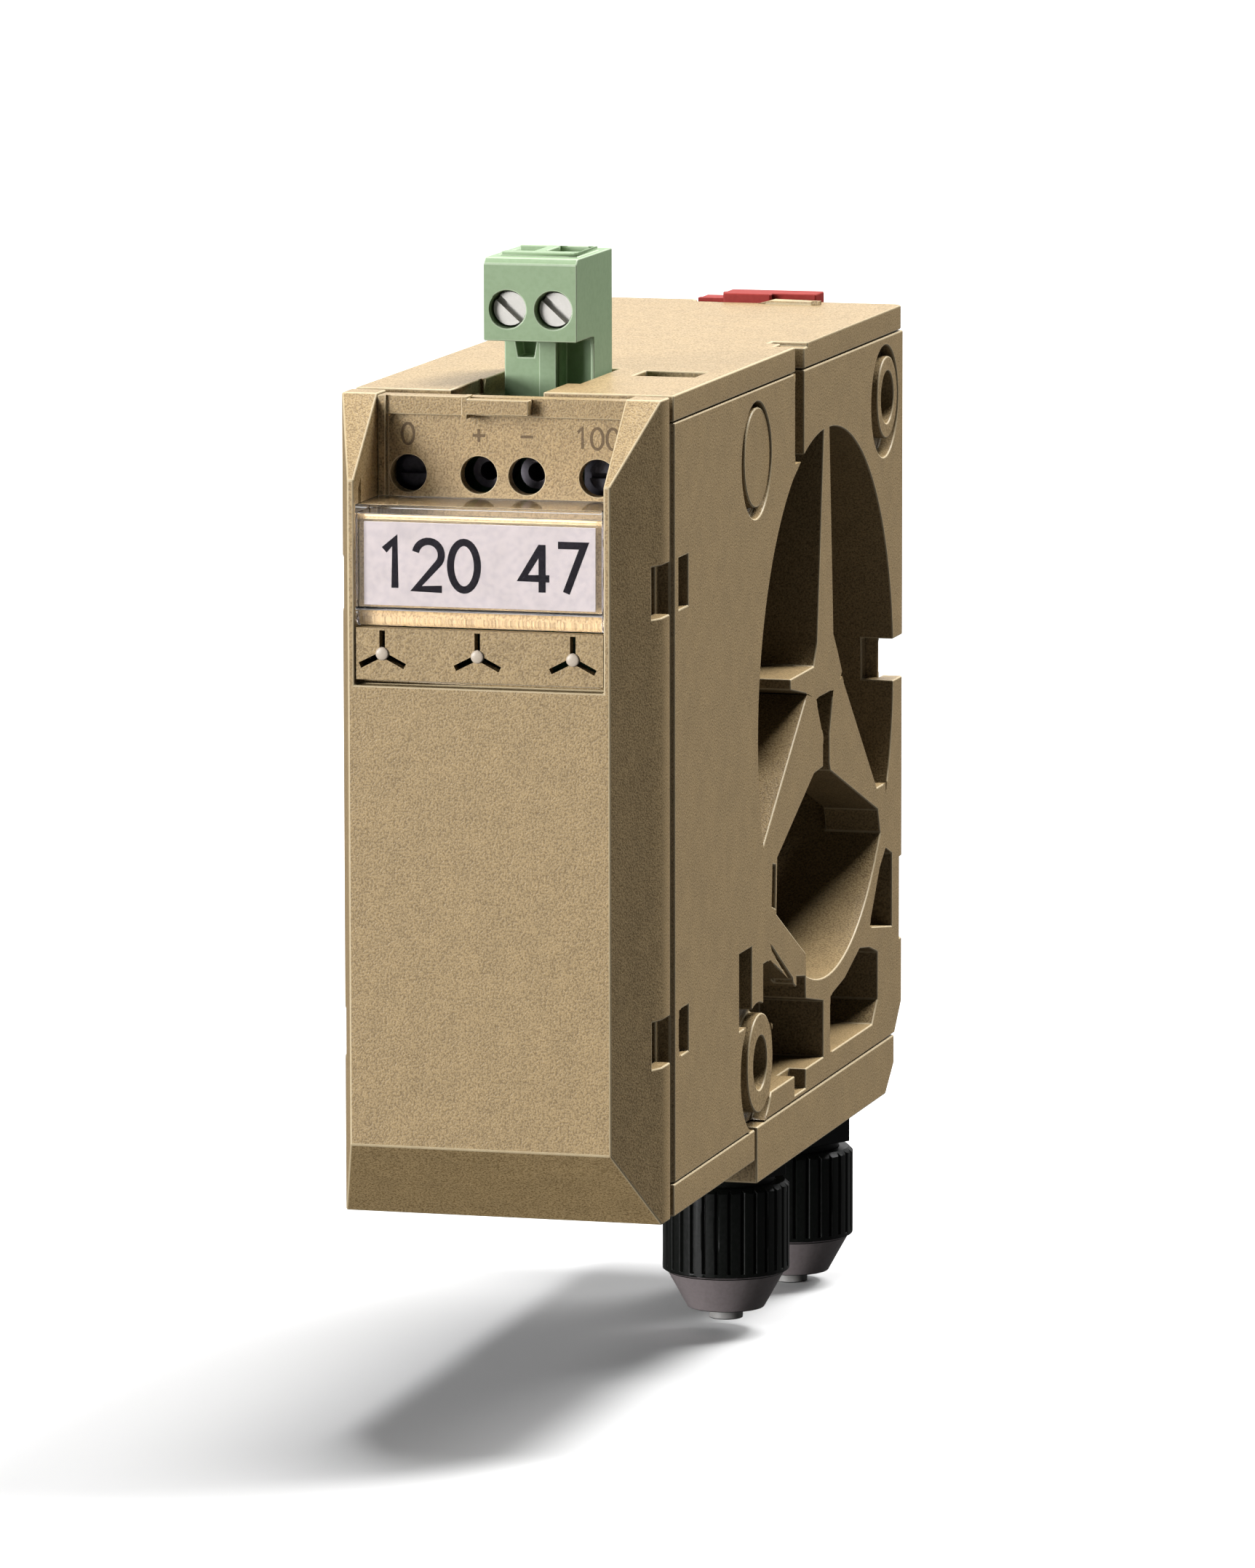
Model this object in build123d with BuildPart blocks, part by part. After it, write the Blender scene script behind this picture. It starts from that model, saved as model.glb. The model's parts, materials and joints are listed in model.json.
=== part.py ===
from build123d import *
import math
import os

# Electro-pneumatic converter for rail mounting, in millimetres. +Z is up, the front faces -Y and the
# side with the large round opening faces +X. The origin lies on the back face, at half the width and at
# the middle of the 35 mm rail.

# Driving dimensions of the housing. Depths are counted back from the seam between hood and housing,
# heights are counted up from the underside of the housing.
WIDTH = 35.0
HEIGHT = 88.0
DEPTH = 102.0
WALL = 2.5
HOOD_REACH = 14.0
HOOD_RIM = 5.0
HOOD_WALL = 1.8
CHEEK_AFT = -11.2
LABEL_WALL_AFT = -11.8
LABEL_TOP = 75.3
HOOK_BITE_SIDE = 0.7
SEAM = 1.6
BEVEL_SIDE = 3.2
BEVEL_BOTTOM = 8.8
BEVEL_TOP = 8.3
GAP = 0.15

# Rail: height, flange thickness and the height of its lower edge above the underside
RAIL_HEIGHT = 35.0
RAIL_THICK = 1.0
RAIL_FLANGE = 5.0
RAIL_LOW = 14.8
RAIL_SEAT = 1.1
HOOK_THICK = 1.8
HOOK_BITE = 2.6
HOOK_HALF = 13.0

# Side frame with the round chamber
SIDE_PLATE = 2.5
CHAMBER_R = 31.0
CHAMBER_WALL = 2.0
CHAMBER_DEPTH = 20.0
CHAMBER_AFT = 66.7
CHAMBER_UP = 46.5
RIB_DEPTH = 6.5
SILL_UP = 3.8
EAVES_UP = 85.2

# Front details
LEDGE_UP = 77.2
WINDOW_HALF = 13.6
STRIP_LOW = 58.0
STRIP_TOP = 64.1
PANEL_SETBACK = 10.0
PANEL_THICK = 1.6
HOLE_R = 2.0
HOLE_UP = 79.45
HOLE_X = (-10.5, -2.75, 2.5, 10.25)
FLAP_THICK = 1.2
FLAP_BARREL_R = 1.0
FLAP_PIN_R = 0.5
FLAP_AXIS_UP = 65.3

# Plug: two poles at 5.08 mm
PITCH = 5.08
POLE_MID_X = -0.91
PLUG_AFT = 9.6
PLUG_DEPTH = 14.4
PLUG_LOW = 92.3
PLUG_TOP = 101.2
PLUG_WIDTH = 10.3
NECK_AFT = 16.6
NECK_LOW = 79.5
SCREW_UP = 95.7
SCREW_HEAD_R = 1.8

# Air connections
PORT_X = 9.0
PORT_AFT = (54.2, 83.6)
PORT_DROP = (0.0, 1.3)
BLOCK_AFT = 35.3
BLOCK_END = 98.5
BLOCK_LOW = -2.7
BLOCK_TOP = 3.6
NUT_R = 7.1
NUT_WALL = 1.65
NUT_UP = -5.9
NUT_KNURL = 10.0
NUT_CONE = 4.4
NUT_GROOVES = 30
BARB_R = 1.9
TUBE_R = 3.0
CONE_WALL = 1.3
FIT = 0.05

HALF = WIDTH / 2
RAIL_MID = RAIL_LOW + RAIL_HEIGHT / 2
INNER_X = -HALF + WALL
PLATE_X = HALF - SIDE_PLATE


def up(height):
    """Z of a point at this height above the underside of the housing."""
    return height - RAIL_MID


def aft(depth):
    """Y of a point at this depth behind the seam."""
    return depth - DEPTH


def block(x, y, z, mode=Mode.ADD):
    """A box between two x, two depths and two heights."""
    centre = ((x[0] + x[1]) / 2, aft((y[0] + y[1]) / 2), up((z[0] + z[1]) / 2))
    with Locations(centre):
        Box(x[1] - x[0], y[1] - y[0], z[1] - z[0], mode=mode)


def side_outline(points, x, mode=Mode.ADD):
    """A straight-edged outline in depth and height, extruded between two x."""
    with BuildSketch(Plane.YZ.offset(x[0])) as outline:
        with BuildLine():
            Polyline([(aft(d), up(h)) for d, h in points], close=True)
        make_face()
    extrude(outline.sketch, amount=x[1] - x[0], mode=mode)


def side_disc(centre, radius, x, mode=Mode.ADD):
    """A disc along x at a depth and height."""
    with BuildSketch(Plane.YZ.offset(x[0])) as outline:
        with Locations((aft(centre[0]), up(centre[1]))):
            Circle(radius)
    extrude(outline.sketch, amount=x[1] - x[0], mode=mode)


def front_disc(centre, radius, y, mode=Mode.ADD):
    """A disc along y at an x and a height, between two depths."""
    with BuildSketch(Plane.XZ.offset(-aft(y[1]))) as outline:
        with Locations((centre[0], up(centre[1]))):
            Circle(radius)
    extrude(outline.sketch, amount=y[1] - y[0], mode=mode)


def plan_disc(centre, radius, z, mode=Mode.ADD):
    """An upright cylinder at an x and a depth, between two heights."""
    with BuildSketch(Plane.XY.offset(up(z[0]))) as outline:
        with Locations((centre[0], aft(centre[1]))):
            Circle(radius)
    extrude(outline.sketch, amount=z[1] - z[0], mode=mode)


def front_frame(x, z, depth):
    """Rectangle at a depth, between two x and two heights, for a loft along y."""
    with BuildSketch(Plane.XZ.offset(-aft(depth))) as outline:
        with Locations(((x[0] + x[1]) / 2, up((z[0] + z[1]) / 2))):
            Rectangle(x[1] - x[0], z[1] - z[0])
    return outline.sketch


def save(piece, name):
    """Label a finished piece and write it as one STEP file."""
    piece.part.label = name
    export_step(piece.part, f"parts/{name}.step")


os.makedirs("parts", exist_ok=True)

# Places that several pieces share
BOSS_UPPER = (95.0, 78.0)
BOSS_LOWER = (37.0, 10.5)
BOSS_R = 4.7
WELL_R = 3.0
PEG = (36.0, 77.5)
PEG_R = 5.5
HOOK_UP = ((65.0, 70.5), (17.0, 22.0))
HOOK_SLOT_AFT = (2.0, 6.0)
SLOT_AFT = (52.0, 56.0)
NOTCH_UP = (45.0, RAIL_LOW + RAIL_HEIGHT)
NOTCH_DEEP = 4.5
NOTCH_X = HALF - 3.75
CORNER = 3.2
SHELL_BACK = 2.2
FLOOR_X = HALF - CHAMBER_DEPTH
TUNNEL_X = (POLE_MID_X - PLUG_WIDTH / 2 - 0.6, POLE_MID_X + PLUG_WIDTH / 2 + 0.4)
SPARE_X = (8.0, 14.8)
SPARE_AFT = (18.5, 24.0)
PLUG_END = PLUG_AFT + PLUG_DEPTH
BOARD_X = INNER_X + 1.8
BOARD_STUDS = ((34.5, 24.0), (34.5, 62.0), (86.0, 24.0), (86.0, 66.0))

# Rail latch: its slide between the back wall and the guides, and the room for its spring
RAIL_TOP = RAIL_LOW + RAIL_HEIGHT
LATCH_FRONT = DEPTH + 0.15
LATCH_BACK = LATCH_FRONT + 1.7
LATCH_TOP = HEIGHT - 1.25
LATCH_HALF = 6.0
LATCH_TRAVEL = 4.0
LATCH_BLOCK_TOP = RAIL_TOP + 6.0
GUIDE_UP = (LATCH_BLOCK_TOP + LATCH_TRAVEL + 0.5, 84.0)
SPRING_LOW = 62.0
SPRING_TOP = 76.0

# Housing shell: left wall, top, front and back walls, with the fixed rail hook and the latch guides
with BuildPart() as housing_shell:
    block((-HALF, HALF), (0, DEPTH), (0, HEIGHT))
    back_edges = housing_shell.part.edges().filter_by(Axis.Z).group_by(Axis.Y)[-1]
    fillet(back_edges, 1.2)
    # hollow, open towards the side frame
    block((INNER_X, PLATE_X), (WALL, DEPTH - SHELL_BACK), (3.5, EAVES_UP), Mode.SUBTRACT)
    block((PLATE_X, HALF + 1), (-1, DEPTH + 1), (3.5, EAVES_UP), Mode.SUBTRACT)
    # the connection block takes the place of the bottom wall from here back
    block((-HALF - 1, HALF + 1), (BLOCK_AFT - 1, DEPTH + 1), (-1, SILL_UP), Mode.SUBTRACT)
    side_outline(((DEPTH - CORNER, SILL_UP), (DEPTH + 1, SILL_UP), (DEPTH + 1, SILL_UP + CORNER + 1)),
                 (-HALF - 1, HALF + 1), Mode.SUBTRACT)
    # rim in the seam, and the front opening behind the hood
    block((-HALF + SEAM, HALF - SEAM), (-SEAM, 0), (SEAM, HEIGHT - SEAM))
    block((-WINDOW_HALF, WINDOW_HALF), (-SEAM - 1, WALL + 1), (8, EAVES_UP), Mode.SUBTRACT)
    # hood hooks pass these slots in the left wall
    for low, high in HOOK_UP:
        block((-HALF - 1, INNER_X + 1), HOOK_SLOT_AFT, (low, high), Mode.SUBTRACT)
    # plug trough, plug tunnel and the spare header slot in the top
    block((TUNNEL_X[0] - 0.3, 3.2), (-SEAM - 1, PLUG_AFT + 2), (HEIGHT - 1.6, HEIGHT + 1), Mode.SUBTRACT)
    block(TUNNEL_X, (PLUG_AFT - 0.4, PLUG_END + 1.4), (EAVES_UP - 1, HEIGHT + 1), Mode.SUBTRACT)
    block(SPARE_X, SPARE_AFT, (EAVES_UP - 1, HEIGHT + 1), Mode.SUBTRACT)
    # expansion slot that goes on up through the edge of the top
    block((PLATE_X, HALF + 1), SLOT_AFT, (EAVES_UP - 1, HEIGHT + 1), Mode.SUBTRACT)
    block((PLATE_X - 1.5, HALF + 1), (SLOT_AFT[0] + 3.2, SLOT_AFT[1] + 1.5), (HEIGHT - 0.5, HEIGHT + 1),
          Mode.SUBTRACT)
    # notch in the top edge for the latch tab
    block((-6.9, 7.9), (99.3, DEPTH + 1), (HEIGHT - 1.4, HEIGHT + 1), Mode.SUBTRACT)
    # low ramp in front of the tab
    with BuildSketch(Plane.XZ.offset(-aft(99.0))) as ramp:
        with BuildLine():
            Polyline([(1.2, up(HEIGHT)), (3.2, up(HEIGHT + 0.55)), (8.6, up(HEIGHT + 0.45)),
                      (8.6, up(HEIGHT))], close=True)
        make_face()
    extrude(ramp.sketch, amount=0.8)
    # seats of the two rail flanges, and the notch that is open at the left edge
    for low in (RAIL_LOW, RAIL_LOW + RAIL_HEIGHT - RAIL_FLANGE):
        block((-HALF - 1, HALF + 1), (DEPTH - RAIL_SEAT, DEPTH + 1), (low - 0.3, low + RAIL_FLANGE + 0.3),
              Mode.SUBTRACT)
    block((-HALF - 1, -NOTCH_X), (DEPTH - NOTCH_DEEP, DEPTH + 1), NOTCH_UP, Mode.SUBTRACT)
    # fixed hook under the rail
    side_outline(((DEPTH, RAIL_LOW - 7), (DEPTH + RAIL_THICK + HOOK_THICK, RAIL_LOW - 3),
                  (DEPTH + HOOK_THICK + 0.4, RAIL_LOW + HOOK_BITE), (DEPTH + 0.15, RAIL_LOW + HOOK_BITE - 0.6),
                  (DEPTH + 0.15, RAIL_LOW - 0.3), (DEPTH, RAIL_LOW - 0.3)), (-HOOK_HALF, HOOK_HALF))
    # guides of the rail latch and the lug that its spring pushes against
    for side in (-1, 1):
        xs = sorted((side * (LATCH_HALF + 0.2), side * (LATCH_HALF + 2.4)))
        block(xs, (DEPTH, LATCH_BACK + 0.15), GUIDE_UP)
        xs = sorted((side * (LATCH_HALF - 0.7), side * (LATCH_HALF + 2.4)))
        block(xs, (LATCH_BACK + 0.15, LATCH_BACK + 0.95), GUIDE_UP)
    block((-1.6, 1.6), (DEPTH, LATCH_BACK + 1.35), (SPRING_TOP, SPRING_TOP + 2))
    # posts that take the housing screws, the locating peg, and the bosses' seats
    for centre in (BOSS_UPPER, BOSS_LOWER):
        side_disc(centre, BOSS_R - 0.6, (INNER_X, FLOOR_X - 3))
        side_disc(centre, 1.3, (INNER_X + 1, FLOOR_X - 2.9), Mode.SUBTRACT)
    side_disc(PEG, PEG_R, (INNER_X, HALF - 0.2))
    for centre in BOARD_STUDS:
        side_disc(centre, 2.2, (INNER_X, BOARD_X))
save(housing_shell, "housing_shell")

# Side frame: the plate at +X, the round chamber with its spider, and the pockets of the lower edge
with BuildPart() as side_frame:
    side_outline(((0, 3.5 + GAP), (BLOCK_AFT - 1, 3.5 + GAP), (BLOCK_AFT - 1, SILL_UP),
                  (DEPTH - CORNER, SILL_UP), (DEPTH, SILL_UP + CORNER), (DEPTH, EAVES_UP - GAP),
                  (0, EAVES_UP - GAP)), (PLATE_X + GAP, HALF))
    # thick lower edge in which the pockets lie, and the chamber wall
    side_outline(((36, SILL_UP), (DEPTH - 5.5, SILL_UP), (99, SILL_UP + 5), (99, 26), (36, 26)),
                 (PLATE_X - 7, HALF))
    side_disc((CHAMBER_AFT, CHAMBER_UP), CHAMBER_R + CHAMBER_WALL, (FLOOR_X - 1.5, HALF))
    side_disc((CHAMBER_AFT, CHAMBER_UP), CHAMBER_R, (FLOOR_X, HALF + 1), Mode.SUBTRACT)
    # spider in the mouth of the chamber: upright, crosspiece and two splayed legs
    spider_x = (HALF - RIB_DEPTH, HALF)
    side_outline(((65, 78), (67.5, 78), (69.5, 54), (71.5, 51.8), (73.5, 49.3), (72.3, 48.3),
                  (69.5, 47.6), (61.5, 47.6), (58, 48.6), (50, 50.1), (50, 51.3), (60.5, 51.4), (62, 54)),
                 spider_x)
    side_outline(((57.5, 48.6), (61.5, 47.7), (64.8, 43), (64.8, 39.5), (60.7, 39.3), (44.2, 32.2),
                  (43.8, 26), (53, 21.5), (57, 19.6), (57.3, 16.5), (50, 16), (36.5, 27), (37.5, 34)),
                 spider_x)
    side_outline(((73.5, 48.6), (69.5, 47.7), (67.7, 43), (67.7, 39.5), (68.2, 38.6), (90.5, 31),
                  (91.8, 28), (95, 28), (94, 33.6), (90, 33.6)), spider_x)
    # narrow slit beside the lower window, and the slanted groove of the wedge under it
    side_outline(((41.7, 27.2), (43.3, 26.7), (43.5, 31.5), (42.1, 31.8)), (HALF - RIB_DEPTH - 1, HALF + 1),
                 Mode.SUBTRACT)
    side_outline(((40.9, 23.2), (41.7, 22.2), (51.6, 16.5), (51.2, 17.6)), (HALF - 2.2, HALF + 1),
                 Mode.SUBTRACT)
    # pockets in the lower edge, with a rib between them
    pocket_x = (PLATE_X - 5, HALF + 1)
    side_outline(((40, 6.5), (65, 6.5), (65, 12.9), (57, 14.4), (56.8, 17), (52.8, 17.6), (52.8, 16.4),
                  (41, 21.3), (38, 21.3), (38, 15.5), (42, 14)), pocket_x, Mode.SUBTRACT)
    side_outline(((68.2, 6.5), (88, 6.5), (90.5, 9), (90.5, 14.5), (86.5, 15.6), (82, 16.2), (75, 13.9),
                  (68.2, 12.9)), pocket_x, Mode.SUBTRACT)
    side_outline(((86.6, 18), (97.3, 16.5), (97.3, 25), (94.4, 26), (91.4, 24)), pocket_x, Mode.SUBTRACT)
    block((PLATE_X - 1, HALF + 1), (27.5, 33), (15.5, 24), Mode.SUBTRACT)
    block((HALF - 2, HALF + 1), (52, 57), (4.3, 6.6), Mode.SUBTRACT)
    # expansion slot from the chamber to the top, and slots of the hood hooks
    block((PLATE_X - 1, HALF + 1), SLOT_AFT, (75, EAVES_UP + 1), Mode.SUBTRACT)
    for low, high in HOOK_UP:
        block((PLATE_X - 1, HALF + 1), HOOK_SLOT_AFT, (low, high), Mode.SUBTRACT)
    # bosses of the housing screws, each in a shallow round recess
    for centre, radius in ((BOSS_UPPER, BOSS_R), (BOSS_LOWER, BOSS_R + 0.8)):
        side_disc((centre[0] - 1.6, centre[1] - 0.3), radius + 1.7, (HALF - 1.6, HALF + 1), Mode.SUBTRACT)
        side_disc(centre, radius, (FLOOR_X - 2.9, HALF - 0.1))
        side_disc(centre, WELL_R, (FLOOR_X + 1, HALF + 1), Mode.SUBTRACT)
        side_disc(centre, 1.7, (FLOOR_X - 4, HALF), Mode.SUBTRACT)
    side_disc((PEG[0] - 1, PEG[1] - 0.2), PEG_R + 0.9, (HALF - 1.2, HALF + 1), Mode.SUBTRACT)
    side_disc(PEG, PEG_R + FIT, (PLATE_X - 1, HALF + 1), Mode.SUBTRACT)
    # rail notch through the chamber wall, and the two flange seats
    block((NOTCH_X, HALF + 1), (DEPTH - NOTCH_DEEP, DEPTH + 1), NOTCH_UP, Mode.SUBTRACT)
    block((PLATE_X - 1, HALF + 1), (DEPTH - RAIL_SEAT, DEPTH + 1), (RAIL_LOW - 0.3, 24), Mode.SUBTRACT)
    front_edge = side_frame.part.edges().filter_by(Axis.Z).group_by(Axis.Y)[0].sort_by(Axis.X)[-1]
    chamfer(front_edge, 0.5)
save(side_frame, "side_frame")

# Connection block: closes the bottom and holds both air fittings
with BuildPart() as connection_block:
    side_outline(((BLOCK_AFT, BLOCK_LOW), (BLOCK_END - 4, BLOCK_LOW), (BLOCK_END, BLOCK_LOW + 3),
                  (BLOCK_END, BLOCK_TOP), (BLOCK_AFT, BLOCK_TOP)), (-HALF, HALF))
    block((INNER_X + 0.3, 4.0), (44, BLOCK_END - 1), (BLOCK_TOP, 12))
    for port in PORT_AFT:
        plan_disc((PORT_X, port), 5.0 + FIT, (BLOCK_LOW - 1, 3.15), Mode.SUBTRACT)
        front = aft(port)
        with BuildSketch(Plane.YZ.offset(-6)) as channel:
            with Locations((front, up(0.8))):
                Circle(1.0)
        extrude(channel.sketch, amount=PORT_X + 6, mode=Mode.SUBTRACT)
        plan_disc((-6, port), 1.0, (0.8, 13), Mode.SUBTRACT)
save(connection_block, "connection_block")

# Front hood: bevelled cover that snaps on with four hooks, cut out at the top for the adjusters
with BuildPart() as front_hood:
    block((-HALF, HALF), (-HOOD_RIM, -SEAM), (0, HEIGHT))
    outer_back = front_frame((-HALF, HALF), (0, HEIGHT), -HOOD_RIM)
    outer_front = front_frame((-HALF + BEVEL_SIDE, HALF - BEVEL_SIDE), (BEVEL_BOTTOM, HEIGHT - BEVEL_TOP),
                              -HOOD_REACH)
    loft(Sketch() + [outer_back, outer_front], ruled=True)
    # hollow, with about the same wall behind each face
    inner_back = front_frame((-HALF + HOOD_WALL, HALF - HOOD_WALL), (HOOD_WALL, HEIGHT - HOOD_WALL),
                             -HOOD_RIM)
    inner_front = front_frame((-WINDOW_HALF, WINDOW_HALF), (BEVEL_BOTTOM + 1, HEIGHT - BEVEL_TOP - 1),
                              HOOD_WALL - HOOD_REACH)
    loft(Sketch() + [inner_back, inner_front], ruled=True, mode=Mode.SUBTRACT)
    block((-HALF + HOOD_WALL, HALF - HOOD_WALL), (-HOOD_RIM, 0), (HOOD_WALL, HEIGHT - HOOD_WALL),
          Mode.SUBTRACT)
    # cheeks on both sides of the recess, which end inside the wall of the upper bevel
    bevel_fall = BEVEL_TOP / (HOOD_REACH - HOOD_RIM)
    cheek_top = HEIGHT - 0.6
    cheek = ((CHEEK_AFT, LEDGE_UP - 15), (-SEAM, LEDGE_UP - 15), (-SEAM, cheek_top), (-HOOD_RIM, cheek_top),
             (CHEEK_AFT, cheek_top + (CHEEK_AFT + HOOD_RIM) * bevel_fall))
    for side in (-1, 1):
        xs = sorted((side * WINDOW_HALF, side * (WINDOW_HALF + 1.0)))
        side_outline(cheek, xs)
    # cut-out for the adjusters, with a shelf and a sill for what stands in it
    block((-WINDOW_HALF, WINDOW_HALF), (-HOOD_REACH - 1, 0), (STRIP_LOW, HEIGHT + 1), Mode.SUBTRACT)
    block((-WINDOW_HALF, WINDOW_HALF), (LABEL_WALL_AFT, -2.2), (LEDGE_UP - 2.6, LEDGE_UP - 1.2))
    # wall behind the label, with a rib above the label's upper edge
    block((-WINDOW_HALF, WINDOW_HALF), (LABEL_WALL_AFT, LABEL_WALL_AFT + 1.0), (STRIP_TOP + 0.2, LEDGE_UP - 2))
    block((-WINDOW_HALF, WINDOW_HALF), (LABEL_WALL_AFT - 0.8, LABEL_WALL_AFT + 0.5),
          (LABEL_TOP + 0.2, LEDGE_UP - 1.2))
    block((-WINDOW_HALF, WINDOW_HALF), (-12.6, -11.6), (STRIP_LOW - 0.6, STRIP_LOW + 0.6))
    # notches beside the hooks, and the hooks that reach into the side walls
    for low, high in HOOK_UP:
        for side in (-1, 1):
            xs = sorted((side * (HALF - 2.4), side * (HALF + 1)))
            block(xs, (-6.7, 0), (low, high), Mode.SUBTRACT)
            xs = sorted((side * (WINDOW_HALF - 1.2), side * WINDOW_HALF))
            block(xs, (-9.5, 5.6), (low + 0.5, high - 0.5))
            xs = sorted((side * WINDOW_HALF, side * (PLATE_X + HOOK_BITE_SIDE)))
            block(xs, (HOOK_SLOT_AFT[0] + 0.7, HOOK_SLOT_AFT[1] - 0.4), (low + 0.5, high - 0.5))
            xs = sorted((side * (WINDOW_HALF - 1.2), side * (HALF - 2.6)))
            block(xs, (-9.5, -6.8), (low + 0.5, high - 0.5))
    # pivot holes of the marker flap
    for side in (-1, 1):
        xs = sorted((side * (WINDOW_HALF - 1), side * (WINDOW_HALF + 0.75)))
        side_disc((-HOOD_REACH + FLAP_BARREL_R, FLAP_AXIS_UP), FLAP_PIN_R + FIT, xs, Mode.SUBTRACT)
save(front_hood, "front_hood")

# Adjuster panel: upright plate with four holes, a raised band on top and the finger tab
PANEL_Y = -HOOD_REACH + PANEL_SETBACK
with BuildPart() as adjuster_panel:
    panel_half = WINDOW_HALF - 0.1
    block((-panel_half, panel_half), (PANEL_Y, PANEL_Y + PANEL_THICK), (LEDGE_UP - 1.2, HEIGHT - 0.2))
    block((-panel_half, panel_half), (PANEL_Y - 0.7, PANEL_Y), (HEIGHT - 2.2, HEIGHT - 0.2))
    block((-4.0, 3.3), (PANEL_Y - 2.3, PANEL_Y - 0.7), (HEIGHT - 1.9, HEIGHT - 0.3))
    block((-4.0, -3.4), (PANEL_Y - 2.3, PANEL_Y), (HEIGHT - 2.4, HEIGHT))
    block((-panel_half, -panel_half + 0.8), (PANEL_Y - 1.2, PANEL_Y), (LEDGE_UP - 1.2, HEIGHT - 0.2))
    for x in HOLE_X:
        front_disc((x, HOLE_UP), HOLE_R, (PANEL_Y - 1, PANEL_Y + PANEL_THICK + 1), Mode.SUBTRACT)
save(adjuster_panel, "adjuster_panel")

# Vent strip: slightly recessed strip with three vents of three slots each
VENT_X = (-10.6, -0.2, 10.2)
VENT_ARM = (0.5, 2.9)
VENT_UP = 61.4
with BuildPart() as vent_strip:
    strip_half = WINDOW_HALF - 0.1
    block((-strip_half, strip_half), (-HOOD_REACH + 0.3, -HOOD_REACH + 1.6), (STRIP_LOW + 0.6, STRIP_TOP))
    with BuildSketch(Plane.XZ.offset(-aft(-HOOD_REACH + 2.6))) as vents:
        for x in VENT_X:
            for angle in (90, 212, 328):
                start = (x + VENT_ARM[0] * math.cos(math.radians(angle)),
                         up(VENT_UP) + VENT_ARM[0] * math.sin(math.radians(angle)))
                end = (x + VENT_ARM[1] * math.cos(math.radians(angle)),
                       up(VENT_UP) + VENT_ARM[1] * math.sin(math.radians(angle)) * 0.85)
                with BuildLine() as arm:
                    Line(start, end)
                trace(arm.line, line_width=0.62)
    extrude(vents.sketch, amount=4, mode=Mode.SUBTRACT)
save(vent_strip, "vent_strip")

# Marker flap: clear cover with a barrel at its lower edge, two pivot pins and a ledge on top
FLAP_AXIS_AFT = -HOOD_REACH + FLAP_BARREL_R
with BuildPart() as marker_flap:
    flap_half = WINDOW_HALF - 0.15
    block((-flap_half, flap_half), (-HOOD_REACH, -HOOD_REACH + FLAP_THICK), (FLAP_AXIS_UP, LEDGE_UP))
    block((-flap_half, flap_half), (-HOOD_REACH, PANEL_Y - 1.4), (LEDGE_UP - 1.0, LEDGE_UP))
    side_disc((FLAP_AXIS_AFT, FLAP_AXIS_UP), FLAP_BARREL_R, (-flap_half, flap_half))
    side_disc((FLAP_AXIS_AFT, FLAP_AXIS_UP), FLAP_PIN_R, (-flap_half - 0.75, flap_half + 0.75))
save(marker_flap, "marker_flap")

# Marker label: paper strip behind the flap, held by two clear lips
LABEL = ((-12.7, 12.5), (66.5, LABEL_TOP))
with BuildPart() as marker_label:
    block(LABEL[0], (-HOOD_REACH + FLAP_THICK, -HOOD_REACH + FLAP_THICK + 0.3), LABEL[1])
save(marker_label, "marker_label")

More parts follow.
